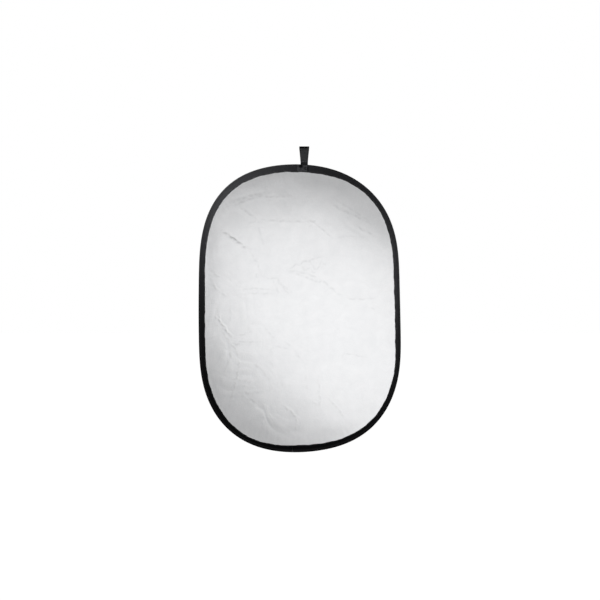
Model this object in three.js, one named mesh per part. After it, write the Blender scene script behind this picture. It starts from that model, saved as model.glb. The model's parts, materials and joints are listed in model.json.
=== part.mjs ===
// Collapsible two-sided reflector panel, oval, with a hang loop.
// Millimetres, +Z up. The panel stands in the XZ plane: the silver side faces -Y (front),
// the white side faces +Y (back). Left and right are as seen from the front.
// Origin: middle of the rim's lowest edge, in the middle of its thickness.
import * as THREE from "three";

const { clamp, lerp, inverseLerp, smoothstep, euclideanModulo } = THREE.MathUtils;

// ---- dimensions ----------------------------------------------------------------
// Rim outline: its distance from the outline's centre, as a mean and ten harmonics
// of the angle from +X towards +Z. The rim sags a little under its own tension, so the
// oval isn't a true ellipse.
const OUTLINE_MEAN = 383.97;
const OUTLINE_COS = [-3.07, -69.68, 2.66, -10.35, -0.99, 3.8, -0.27, -0.02, 0.13, 0.13];
const OUTLINE_SIN = [-0.54, -2.53, -0.95, 0.27, -0.18, 0.32, -0.06, -0.35, 0.14, 0.15];
const CENTRE_X = 0.6;
const CENTRE_Z = 439.16;
// Width of the edge binding's face, every ten degrees of the same angle.
const BINDING_WIDTH = [
  16.1, 16.5, 16.7, 16.4, 17.0, 16.2, 16.1, 18.7, 22.3, 23.4, 22.0, 21.4,
  20.3, 19.1, 19.0, 17.7, 17.9, 19.0, 19.1, 18.8, 18.7, 18.2, 19.0, 19.1,
  18.1, 16.4, 18.8, 21.0, 19.9, 18.2, 16.7, 15.8, 15.3, 14.5, 16.2, 16.4,
];

const SAMPLES = 7200; // fine samples of the outline, for arc lengths and normals
const RING_STEPS = 100; // facets round the soft rings and sheets

const BAND_INSET = 3.0; // steel band's centreline, in from the rim's outer edge
const BAND_T = 0.9; // band thickness, in the plane of the panel
const BAND_W = 3.2; // band width, across the panel
const BAND_SEGMENTS = 25; // equal lengths; the first is centred under the hang loop
const BAND_GAP = 1.0; // gap between two lengths of band
const BAND_STEPS = 6; // facets along a length of band
const BAND_END_STEPS = 4; // facets along each half length at the splice
const TIP_OFFSET = 1.8; // each half's drift across the panel, so their lower ends can pass

const SLEEVE_LEN = 46;
const SLEEVE_CLEAR = 0.32;
const SLEEVE_WALL = 0.5;
const SLEEVE_STEPS = 6;

const TAPE_T = 0.75; // binding tape thickness
const TAPE_CLEAR = 0.35; // tape to the steel inside it
const LEG_OUT = 1.95; // outer face of the binding's flat legs, from the middle plane
const LEG_T = 0.8;
// The binding bulges for the sleeve up to one distance from the loop, and not at all
// beyond the other.
const SLEEVE_BULGE_FULL = 30;
const SLEEVE_BULGE_END = 70;

const CLOTH_T = 0.35;
const CLOTH_IN = 0.4; // inner face of each cloth, from the middle plane
const CLOTH_INSET = 4.4; // cloth edge, in from the rim's outer edge

const SEAM_FROM_EDGE = 3.2; // seam line, out from the binding's inner edge
const CLIP_FROM_EDGE = 4.6; // flat strip for a clip: its end, from the binding's inner edge
const THREAD_W = 1.0;
const THREAD_T = 0.34;
const THREAD_GAP = 0.3; // thread to the face below it

const LOOP_X = 13.4; // hang loop's centre
const LOOP_W_BASE = 22.4;
const LOOP_W_TOP = 30.0;
const LOOP_RISE = 56.6; // loop's top above the rim's outer edge
const WEB_T = 1.3; // webbing thickness
const STRAND_GAP = 0.3; // inner face of each strand at the base, from the middle plane
const LOOP_BELLY = 13.0; // loop's greatest thickness, across the panel
const HINGE_RISE = 2.3; // loop's fold line above the rim's outer edge
// Heights above the fold line.
const LOOP_TOP = LOOP_RISE - HINGE_RISE;
const SWELL_FROM = 7.0; // the two strands stay together up to here
const SWELL_TO = LOOP_TOP - 9;
const WIDEN_FROM = 12;
const WIDEN_TO = LOOP_TOP - 6;
const UPRIGHT_FROM = 14; // the rim's slope has died out here

const TAIL_DEEP = 24.0; // how far the sewn tails reach down over the binding
const TAIL_LEFT = 20.5; // front tail's left edge, from the loop's centre
const TAIL_SIDE = 13.5; // every other tail edge, from the loop's centre
const TAIL_T = 1.1;
const TAIL_IN = LEG_OUT + 1.0; // tail's inner face over the flat legs, from the middle plane
const TAIL_OUT = TAIL_IN + TAIL_T;
const TAIL_BULGE_GAP = 0.32; // tail to the binding's bulge
const STITCH_SIDE_INSET = 3; // box stitch, in from the tail's sides
const STITCH_END_INSET = 2; // box stitch, up from the tail's lower end
const STITCH_TOP = 11.5; // box stitch's upper edge, in from the rim's outer edge

const FINISH = {
  steel: { color: 0x8b8f93, roughness: 0.35, metalness: 0.9 },
  sleeve: { color: 0xa9a59a, roughness: 0.4, metalness: 0.85 },
  binding: { color: 0x1d1f24, roughness: 0.85, metalness: 0 },
  silver: { color: 0xe9eaec, roughness: 0.35, metalness: 0.6 },
  white: { color: 0xf4f4f2, roughness: 0.8, metalness: 0 },
  seamThread: { color: 0x24262b, roughness: 0.7, metalness: 0 },
  webbing: { color: 0x3c4148, roughness: 0.8, metalness: 0 },
  frontTail: { color: 0x454b55, roughness: 0.8, metalness: 0 },
  loopThread: { color: 0x55585e, roughness: 0.7, metalness: 0 },
};

// ---- outline -------------------------------------------------------------------
// A "sample" is a place on the outline, counted from +X; it may be fractional.
function outlinePoint(sample) {
  const angle = (2 * Math.PI * sample) / SAMPLES;
  let radius = OUTLINE_MEAN;
  for (let k = 0; k < OUTLINE_COS.length; k++) {
    const turn = (k + 1) * angle;
    radius += OUTLINE_COS[k] * Math.cos(turn) + OUTLINE_SIN[k] * Math.sin(turn);
  }
  return [CENTRE_X + radius * Math.cos(angle), CENTRE_Z + radius * Math.sin(angle)];
}

const outline = Array.from({ length: SAMPLES }, (_, i) => outlinePoint(i));
// The outline runs counterclockwise from the front, so these normals point inward.
const normals = outline.map((_, i) => {
  const next = outline[(i + 1) % SAMPLES];
  const previous = outline[(i + SAMPLES - 1) % SAMPLES];
  const dx = next[0] - previous[0];
  const dz = next[1] - previous[1];
  const length = Math.hypot(dx, dz);
  return [-dz / length, dx / length];
});

// Point in the panel's plane spacing y, moved in from the outer edge by depth.
function rimPoint(sample, depth, y = 0) {
  const i = Math.floor(sample) % SAMPLES;
  const j = (i + 1) % SAMPLES;
  const t = sample - Math.floor(sample);
  const nx = lerp(normals[i][0], normals[j][0], t);
  const nz = lerp(normals[i][1], normals[j][1], t);
  const scale = depth / Math.hypot(nx, nz);
  return [
    lerp(outline[i][0], outline[j][0], t) + nx * scale,
    y,
    lerp(outline[i][1], outline[j][1], t) + nz * scale,
  ];
}

function bindingWidth(sample) {
  const count = BINDING_WIDTH.length;
  const position = (sample * count) / SAMPLES;
  const i = Math.floor(position);
  const t = smoothstep(position - i, 0, 1);
  return lerp(BINDING_WIDTH[i % count], BINDING_WIDTH[(i + 1) % count], t);
}

// Arc length along the steel band's centreline.
const bandLine = outline.map((_, i) => rimPoint(i, BAND_INSET));
const arc = [0];
bandLine.forEach(([x, , z], i) => {
  const next = bandLine[(i + 1) % SAMPLES];
  arc.push(arc[i] + Math.hypot(next[0] - x, next[2] - z));
});
const BAND_LENGTH = arc[SAMPLES];
const HALF_LENGTH = BAND_LENGTH / 2;

// The sample under the hang loop: the one nearest LOOP_X in the upper half.
let loopSample = 0;
bandLine.forEach(([x, , z], i) => {
  const nearer = Math.abs(x - LOOP_X) < Math.abs(bandLine[loopSample][0] - LOOP_X);
  if (z > CENTRE_Z && nearer) loopSample = i;
});

// Sample at arc length s along the band from start.
function sampleFrom(start, s) {
  const target = euclideanModulo(start + s, BAND_LENGTH);
  let low = 0;
  let high = SAMPLES;
  while (high - low > 1) {
    const middle = (low + high) >> 1;
    if (arc[middle] <= target) low = middle;
    else high = middle;
  }
  return low + (target - arc[low]) / (arc[low + 1] - arc[low]);
}
// Sample at arc length s from the hang loop, positive to the left.
const sampleAt = (s) => sampleFrom(arc[loopSample], s);

// Stations spaced evenly along the rim, each with its arc length s from the loop.
const ringStations = Array.from({ length: RING_STEPS }, (_, i) => {
  const along = (BAND_LENGTH * (i + 0.5)) / RING_STEPS;
  const s = along > HALF_LENGTH ? along - BAND_LENGTH : along;
  return { s, sample: sampleAt(s) };
});

// The band's drift across the panel: its left half to the front, its right to the back.
const bandY = (s) => (-TIP_OFFSET * s) / HALF_LENGTH;

// Half thickness of the binding's outer bulge: enough for the band inside it, and for
// the splice sleeve under the loop.
function bulge(s) {
  const steelHalf = BAND_W / 2;
  const cover = TAPE_CLEAR + TAPE_T;
  const overBand = Math.abs(bandY(s)) + steelHalf + cover;
  const overSleeve = steelHalf + SLEEVE_CLEAR + SLEEVE_WALL + cover;
  const near = clamp(inverseLerp(SLEEVE_BULGE_END, SLEEVE_BULGE_FULL, Math.abs(s)), 0, 1);
  return lerp(overBand, Math.max(overBand, overSleeve), near);
}

// ---- mesh helpers --------------------------------------------------------------
const group = new THREE.Group();
group.name = "reflector_panel";

function add(name, geometry, finish) {
  const material = new THREE.MeshStandardMaterial({ ...finish, side: THREE.DoubleSide });
  const mesh = new THREE.Mesh(geometry, material);
  mesh.name = name;
  group.add(mesh);
}

const quad = (a, b, c, d) => [a, b, c, a, c, d];

// Geometry of a closed solid, with its faces turned out.
function solid(points, index) {
  const corners = points.map((p) => new THREE.Vector3(...p));
  let volume = 0;
  for (let i = 0; i < index.length; i += 3) {
    const [a, b, c] = index.slice(i, i + 3).map((corner) => corners[corner]);
    volume += a.dot(b.clone().cross(c));
  }
  if (volume < 0) {
    for (let i = 0; i < index.length; i += 3) {
      [index[i + 1], index[i + 2]] = [index[i + 2], index[i + 1]];
    }
  }
  const geometry = new THREE.BufferGeometry();
  geometry.setAttribute("position", new THREE.Float32BufferAttribute(points.flat(), 3));
  geometry.setIndex(index);
  geometry.computeVertexNormals();
  return geometry;
}

// Triangles over a flat ring, as indices into it.
function capTriangles(ring) {
  const origin = new THREE.Vector3(...ring[0]);
  const offsets = ring.map((p) => new THREE.Vector3(...p).sub(origin));
  const normal = new THREE.Vector3();
  offsets.forEach((p, j) => normal.add(p.clone().cross(offsets[(j + 1) % ring.length])));
  normal.normalize();
  // Axes in the ring's plane: along Y, or along X where the plane faces Y.
  const u = new THREE.Vector3(0, 1, 0).addScaledVector(normal, -normal.y);
  if (u.length() < 0.1) u.set(1, 0, 0).addScaledVector(normal, -normal.x);
  u.normalize();
  const v = new THREE.Vector3().crossVectors(normal, u);
  const flat = offsets.map((p) => new THREE.Vector2(p.dot(u), p.dot(v)));
  return THREE.ShapeUtils.triangulateShape(flat, []);
}

// A closed solid from rings of points: each ring is joined to the next, and the ends are
// capped, or joined to each other when the rings run full circle.
function loft(rings, full = false) {
  const size = rings[0].length;
  const index = [];
  const spans = full ? rings.length : rings.length - 1;
  for (let i = 0; i < spans; i++) {
    const a = i * size;
    const b = ((i + 1) % rings.length) * size;
    for (let j = 0; j < size; j++) {
      const k = (j + 1) % size;
      index.push(...quad(a + j, a + k, b + k, b + j));
    }
  }
  if (!full) {
    const last = (rings.length - 1) * size;
    capTriangles(rings[0]).forEach(([a, b, c]) => index.push(a, c, b));
    capTriangles(rings.at(-1)).forEach(([a, b, c]) => index.push(last + a, last + b, last + c));
  }
  return solid(rings.flat(), index);
}

// ---- steel hoop ----------------------------------------------------------------
// Rectangle round the band's centreline at arc length s.
function bandSection(s, halfThickness, halfWidth) {
  const sample = sampleAt(s);
  const outer = BAND_INSET - halfThickness;
  const inner = BAND_INSET + halfThickness;
  const front = bandY(s) - halfWidth;
  const back = bandY(s) + halfWidth;
  return [
    rimPoint(sample, outer, front),
    rimPoint(sample, outer, back),
    rimPoint(sample, inner, back),
    rimPoint(sample, inner, front),
  ];
}

function bandPiece(name, start, end, steps) {
  const rings = [];
  for (let i = 0; i <= steps; i++) {
    const s = start + ((end - start) * i) / steps;
    rings.push(bandSection(s, BAND_T / 2, BAND_W / 2));
  }
  add(name, loft(rings), FINISH.steel);
}

// The hoop in equal lengths; the one under the loop is split in two at the splice.
function steelHoop() {
  const pitch = BAND_LENGTH / BAND_SEGMENTS;
  const halfGap = BAND_GAP / 2;
  const sides = [["left", 1], ["right", -1]];
  for (const [label, sign] of sides) {
    const name = `steel_band_splice_end_${label}`;
    bandPiece(name, sign * halfGap, sign * (pitch / 2 - halfGap), BAND_END_STEPS);
  }
  for (let k = 1; k <= (BAND_SEGMENTS - 1) / 2; k++) {
    const start = (k - 0.5) * pitch + halfGap;
    const end = (k + 0.5) * pitch - halfGap;
    for (const [label, sign] of sides) {
      const name = `steel_band_${label}_${String(k).padStart(2, "0")}`;
      bandPiece(name, sign * start, sign * end, BAND_STEPS);
    }
  }
}

// An open flat tube over the two ends of the band.
function spliceSleeve() {
  const points = []; // at each station, four outer corners and then four inner ones
  for (let i = 0; i <= SLEEVE_STEPS; i++) {
    const s = -SLEEVE_LEN / 2 + (SLEEVE_LEN * i) / SLEEVE_STEPS;
    for (const margin of [SLEEVE_CLEAR + SLEEVE_WALL, SLEEVE_CLEAR]) {
      points.push(...bandSection(s, BAND_T / 2 + margin, BAND_W / 2 + margin));
    }
  }
  const index = [];
  const last = SLEEVE_STEPS * 8;
  for (let j = 0; j < 4; j++) {
    const k = (j + 1) % 4;
    for (let a = 0; a < last; a += 8) {
      const b = a + 8;
      index.push(...quad(a + j, b + j, b + k, a + k));
      index.push(...quad(a + 4 + j, a + 4 + k, b + 4 + k, b + 4 + j));
    }
    index.push(...quad(j, k, 4 + k, 4 + j));
    index.push(...quad(last + j, last + 4 + j, last + 4 + k, last + k));
  }
  add("splice_sleeve", solid(points, index), FINISH.sleeve);
}

// ---- binding, cloths and seams ---------------------------------------------------
// One tape folded round the hoop and the cloths' edges.
function edgeBinding() {
  const rings = ringStations.map(({ s, sample }) => {
    const width = bindingWidth(sample);
    const out = bulge(s);
    const inside = out - TAPE_T;
    const legIn = LEG_OUT - LEG_T;
    // Half section: distance in from the outer edge, distance from the middle plane.
    const half = [
      [0, 0.5 * out], [1.5, out], [4.4, out], [8.2, LEG_OUT],
      [width - CLIP_FROM_EDGE, LEG_OUT], [width, LEG_OUT],
      [width, legIn], [7.9, legIn], [4.7, inside], [1.0, inside],
    ];
    return [
      ...half.map(([depth, y]) => rimPoint(sample, depth, -y)),
      ...half.toReversed().map(([depth, y]) => rimPoint(sample, depth, y)),
    ];
  });
  add("edge_binding", loft(rings, true), FINISH.binding);
}

function cloth(name, y0, y1, finish) {
  const ringAt = (y) => ringStations.map(({ sample }) => rimPoint(sample, CLOTH_INSET, y));
  add(name, loft([ringAt(y0), ringAt(y1)]), finish);
}

// A thread of triangular section round one face of the binding.
function bindingSeam(name, side) {
  const base = side * (LEG_OUT + THREAD_GAP);
  const crest = side * (LEG_OUT + THREAD_GAP + THREAD_T);
  const rings = ringStations.map(({ sample }) => {
    const depth = bindingWidth(sample) - SEAM_FROM_EDGE;
    return [
      rimPoint(sample, depth - THREAD_W / 2, base),
      rimPoint(sample, depth, crest),
      rimPoint(sample, depth + THREAD_W / 2, base),
    ];
  });
  add(name, loft(rings, true), FINISH.seamThread);
}

// ---- hang loop -----------------------------------------------------------------
const [FOLD_X, , FOLD_Z] = rimPoint(loopSample, -HINGE_RISE);
const RIM_SLOPE = Math.atan(-normals[loopSample][0] / normals[loopSample][1]);

// Point in the loop's frame: t to the right along the rim, h above the fold line.
// The base follows the rim's slope and the rest stands upright.
function loopPoint(t, y, h) {
  const follow = clamp(1 - h / UPRIGHT_FROM, 0, 1);
  const x = FOLD_X + t * Math.cos(RIM_SLOPE);
  return [x, y, FOLD_Z + h + t * Math.sin(RIM_SLOPE) * follow];
}

function hangLoop() {
  const belly = LOOP_BELLY / 2;
  const base = WEB_T + STRAND_GAP;
  const halfWidth = (h) => lerp(LOOP_W_BASE, LOOP_W_TOP, smoothstep(h, WIDEN_FROM, WIDEN_TO)) / 2;
  const outerFace = (h) => lerp(base, belly, smoothstep(h, SWELL_FROM, SWELL_TO));
  const strandHeights = [SWELL_FROM, 13, 20, 28, 37, SWELL_TO, LOOP_TOP - 4.5];
  // Back strand, upwards: outer corner, inner corner, each as (y, height).
  const back = [
    [[0.8, -1.5], [STRAND_GAP, 3.2]],
    [[base, -0.9], [STRAND_GAP, 3.7]],
    ...strandHeights.map((h) => [[outerFace(h), h], [outerFace(h) - WEB_T, h]]),
    [[belly - 0.8, LOOP_TOP - 1.4], [belly - WEB_T - 0.6, LOOP_TOP - WEB_T - 1.2]],
    [[belly - 2.6, LOOP_TOP], [belly - 2.6, LOOP_TOP - WEB_T]],
  ];
  const front = back.toReversed().map((corners) => corners.map(([y, h]) => [-y, h]));
  const rings = [...back, ...front].map(([[outerY, outerH], [innerY, innerH]]) => [
    loopPoint(-halfWidth(outerH), outerY, outerH),
    loopPoint(halfWidth(outerH), outerY, outerH),
    loopPoint(halfWidth(innerH), innerY, innerH),
    loopPoint(-halfWidth(innerH), innerY, innerH),
  ]);
  add("hang_loop", loft(rings, true), FINISH.webbing);
}

// A sewn tail that hugs one face of the binding, from left to right of the loop's centre.
function loopTail(name, side, left, right, finish) {
  const overBulge = bulge(0) + TAIL_BULGE_GAP;
  // Distance in from the outer edge, distance from the middle plane.
  const profile = [
    [0.7, overBulge], [0.7, overBulge + TAIL_T], [6.0, overBulge + TAIL_T],
    [10.0, TAIL_OUT], [TAIL_DEEP, TAIL_OUT],
    [TAIL_DEEP, TAIL_IN], [10.0, TAIL_IN], [6.0, overBulge],
  ];
  const rings = [left, (left + right) / 2, right].map((t) => {
    const sample = sampleAt(-t);
    return profile.map(([depth, y]) => rimPoint(sample, depth, side * y));
  });
  add(name, loft(rings), finish);
}

// A rectangle of thread on a tail.
function boxStitch(name, side, tailLeft, tailRight) {
  const y0 = side * (TAIL_OUT + THREAD_GAP);
  const y1 = y0 + side * THREAD_T;
  const left = tailLeft + STITCH_SIDE_INSET;
  const right = tailRight - STITCH_SIDE_INSET;
  const bottom = TAIL_DEEP - STITCH_END_INSET;
  // Each corner, with the directions from it to the inside of the rectangle.
  const corners = [
    [left, STITCH_TOP, 1, 1], [right, STITCH_TOP, -1, 1],
    [right, bottom, -1, -1], [left, bottom, 1, -1],
  ];
  const rings = corners.map(([t, depth, inT, inDepth]) => {
    const outer = sampleAt(-t);
    const inner = sampleAt(-(t + inT * THREAD_W));
    const innerDepth = depth + inDepth * THREAD_W;
    return [
      rimPoint(outer, depth, y0),
      rimPoint(outer, depth, y1),
      rimPoint(inner, innerDepth, y1),
      rimPoint(inner, innerDepth, y0),
    ];
  });
  add(name, loft(rings, true), FINISH.loopThread);
}

// Bar tack on the front strand, where the two strands are held together.
function barTack() {
  const inner = -(WEB_T + STRAND_GAP + THREAD_GAP);
  const outer = inner - THREAD_T;
  const section = [[inner, 3.4], [inner, 5.0], [outer, 4.8], [outer, 3.6]]; // y, height
  const end = LOOP_W_BASE / 2 - 2;
  const rings = [-end, end].map((t) => section.map(([y, h]) => loopPoint(t, y, h)));
  add("loop_bar_tack", loft(rings), FINISH.loopThread);
}

// ---- assembly ------------------------------------------------------------------
steelHoop();
spliceSleeve();
edgeBinding();
cloth("silver_cloth", -CLOTH_IN - CLOTH_T, -CLOTH_IN, FINISH.silver);
cloth("white_cloth", CLOTH_IN, CLOTH_IN + CLOTH_T, FINISH.white);
bindingSeam("binding_seam_front", -1);
bindingSeam("binding_seam_back", 1);
hangLoop();
loopTail("hang_loop_tail_front", -1, -TAIL_LEFT, TAIL_SIDE, FINISH.frontTail);
loopTail("hang_loop_tail_back", 1, -TAIL_SIDE, TAIL_SIDE, FINISH.webbing);
boxStitch("tail_box_stitch_front", -1, -TAIL_LEFT, TAIL_SIDE);
boxStitch("tail_box_stitch_back", 1, -TAIL_SIDE, TAIL_SIDE);
barTack();

export default group;
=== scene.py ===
"""A round folding panel with silver cloth in front and white cloth behind, edged with black
woven tape over a sprung steel hoop, and hung from a webbing loop at the top.

It stands upright in the XZ plane: the silver front faces -Y, +Z is up and -X is the left.
The shape is worked out in millimetres and the meshes are written in metres. Along the rim,
"arc" is the length from the hang loop, positive to the left, and "inset" is the distance in
from the rim's outer edge.
"""
import json
import math

import bmesh
import bpy
import numpy as np
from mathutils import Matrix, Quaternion, Vector
from mathutils.geometry import delaunay_2d_cdt

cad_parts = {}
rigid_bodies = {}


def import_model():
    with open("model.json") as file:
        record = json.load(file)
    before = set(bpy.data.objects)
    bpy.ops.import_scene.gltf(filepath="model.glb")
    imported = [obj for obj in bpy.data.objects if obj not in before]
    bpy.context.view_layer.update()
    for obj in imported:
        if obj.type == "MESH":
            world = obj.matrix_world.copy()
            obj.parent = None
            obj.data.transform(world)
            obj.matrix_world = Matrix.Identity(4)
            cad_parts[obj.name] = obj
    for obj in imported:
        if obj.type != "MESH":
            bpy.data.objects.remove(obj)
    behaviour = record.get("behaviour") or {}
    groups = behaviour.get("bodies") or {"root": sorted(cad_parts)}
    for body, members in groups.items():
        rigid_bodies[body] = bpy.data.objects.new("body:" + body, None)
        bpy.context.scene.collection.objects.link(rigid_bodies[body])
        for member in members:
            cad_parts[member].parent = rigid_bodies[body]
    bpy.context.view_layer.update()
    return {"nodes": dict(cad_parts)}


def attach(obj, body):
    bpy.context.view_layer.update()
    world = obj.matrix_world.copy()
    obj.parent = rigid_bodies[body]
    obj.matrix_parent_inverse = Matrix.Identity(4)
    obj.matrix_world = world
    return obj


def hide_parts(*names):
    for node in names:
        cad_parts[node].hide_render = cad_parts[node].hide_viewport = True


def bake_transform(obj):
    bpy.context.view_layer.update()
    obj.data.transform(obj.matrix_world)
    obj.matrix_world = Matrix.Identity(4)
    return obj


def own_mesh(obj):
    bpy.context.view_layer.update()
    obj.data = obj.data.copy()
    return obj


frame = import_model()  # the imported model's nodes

MM = 0.001
PHASE_MAX = 6.28  # upper end of most random phases, about one turn


# ---------------------------------------------------------------- small helpers
def smooth(value, start, end):
    """0 before start, 1 after end, with an eased step between"""
    share = np.clip((value - start) / (end - start), 0, 1)
    return share * share * (3 - 2 * share)


def bell(value, width):
    return np.exp(-0.5 * (value / width) ** 2)


def unit(vector):
    return vector / np.linalg.norm(vector)


def units(vectors):
    return vectors / np.linalg.norm(vectors, axis=-1)[..., None]


def cross2(first, second):
    return first[0] * second[1] - first[1] * second[0]


def run_along(points):
    """length from the first point to each point of a polyline"""
    return np.concatenate([[0], np.cumsum(np.linalg.norm(np.diff(points, axis=0), axis=1))])


def points_at(points, run, where):
    """points of a polyline at the lengths in where"""
    return np.stack([np.interp(where, run, column) for column in points.T], axis=-1)


# ---------------------------------------------------------------- outline
CENTRE_X, CENTRE_Z = 0.6, 439.16
MEAN_RADIUS = 383.97
# cosine and sine parts of the radius, harmonics 1 to 10
RADIUS_COS = [-3.07, -69.68, 2.66, -10.35, -0.99, 3.8, -0.27, -0.02, 0.13, 0.13]
RADIUS_SIN = [-0.54, -2.53, -0.95, 0.27, -0.18, 0.32, -0.06, -0.35, 0.14, 0.15]
# width of the edge tape every 10 degrees, from +X round towards +Z
TAPE_WIDTHS = np.array([
    16.1, 16.5, 16.7, 16.4, 17.0, 16.2, 16.1, 18.7, 22.3, 23.4, 22.0, 21.4,
    20.3, 19.1, 19.0, 17.7, 17.9, 19.0, 19.1, 18.8, 18.7, 18.2, 19.0, 19.1,
    18.1, 16.4, 18.8, 21.0, 19.9, 18.2, 16.7, 15.8, 15.3, 14.5, 16.2, 16.4,
])
OUTLINE_COUNT = 7200
BAND_INSET = 3.0  # the steel band's line, on which arcs are measured
SEGMENT_COUNT = 25  # lengths of hoop that move on their own
LOOP_X = 13.4


def radius(angle):
    total = np.full_like(angle, MEAN_RADIUS)
    for k, (cosine, sine) in enumerate(zip(RADIUS_COS, RADIUS_SIN), 1):
        total = total + cosine * np.cos(k * angle) + sine * np.sin(k * angle)
    return total


angles = 2 * np.pi * np.arange(OUTLINE_COUNT) / OUTLINE_COUNT
OUTLINE = np.column_stack([
    CENTRE_X + radius(angles) * np.cos(angles),
    CENTRE_Z + radius(angles) * np.sin(angles),
])
TANGENTS = units(np.roll(OUTLINE, -1, 0) - np.roll(OUTLINE, 1, 0))
INWARD = np.column_stack([-TANGENTS[:, 1], TANGENTS[:, 0]])
band_line = OUTLINE + INWARD * BAND_INSET
BAND_STEPS = np.linalg.norm(np.roll(band_line, -1, 0) - band_line, axis=1)
BAND_RUN = np.concatenate([[0], np.cumsum(BAND_STEPS)])
RIM_LENGTH = BAND_STEPS.sum()
HALF_RIM = RIM_LENGTH / 2
SEGMENT = RIM_LENGTH / SEGMENT_COUNT
upper_part = np.where(band_line[:, 1] > 600)[0]
LOOP_INDEX = int(upper_part[np.argmin(np.abs(band_line[upper_part, 0] - LOOP_X))])
LOOP_RUN = BAND_RUN[LOOP_INDEX]


def outline_place(arc):
    """fractional index into OUTLINE"""
    run = (LOOP_RUN + np.asarray(arc, float)) % RIM_LENGTH
    i = np.clip(np.searchsorted(BAND_RUN, run, side="right") - 1, 0, OUTLINE_COUNT - 1)
    return (i + (run - BAND_RUN[i]) / BAND_STEPS[i]) % OUTLINE_COUNT


def rim(arc, inset):
    """points (x, z) at arc and inset, and the inward normals there"""
    place = outline_place(arc)
    i = np.floor(place).astype(int) % OUTLINE_COUNT
    j = (i + 1) % OUTLINE_COUNT
    share = (place - np.floor(place))[..., None]
    normal = units(INWARD[i] * (1 - share) + INWARD[j] * share)
    point = OUTLINE[i] * (1 - share) + OUTLINE[j] * share
    return point + normal * np.asarray(inset, float)[..., None], normal


def tape_width(arc):
    place = (outline_place(arc) / OUTLINE_COUNT * 360.0) % 360.0 / 10.0
    i = np.floor(place).astype(int) % 36
    share = smooth(place - np.floor(place), 0, 1)
    return TAPE_WIDTHS[i] * (1 - share) + TAPE_WIDTHS[(i + 1) % 36] * share


BULGE_AT_LOOP = 2.7  # half thickness of the rim over the steel band, at the loop
BULGE_GROWTH = 1.8  # how much thicker it is half way round
SLEEVE_BULGE = 3.52  # least half thickness over the splice sleeve, near the loop


def bulge(arc):
    """half thickness of the rim over the steel"""
    arc = np.abs(np.asarray(arc, float))
    band = BULGE_GROWTH * arc / HALF_RIM + BULGE_AT_LOOP
    near = np.clip((70 - arc) / 40, 0, 1)
    return band * (1 - near) + np.maximum(band, SLEEVE_BULGE) * near


def where_name(k):
    """hoop length k: 0 at the loop, + to the left, - to the right"""
    return "top" if k == 0 else f"{'left' if k > 0 else 'right'}_{abs(k):02d}"


def body(k):
    return "rim_top" if k == 0 else "hoop_" + where_name(k)


FLAT_HALF = 1.95  # half thickness of the folded tape inside the bulge
CLOTH_INSET = 4.4
CLOTH_LEVEL, CLOTH_THICK = 0.40, 0.35  # inner face of each cloth from the middle plane

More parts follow.
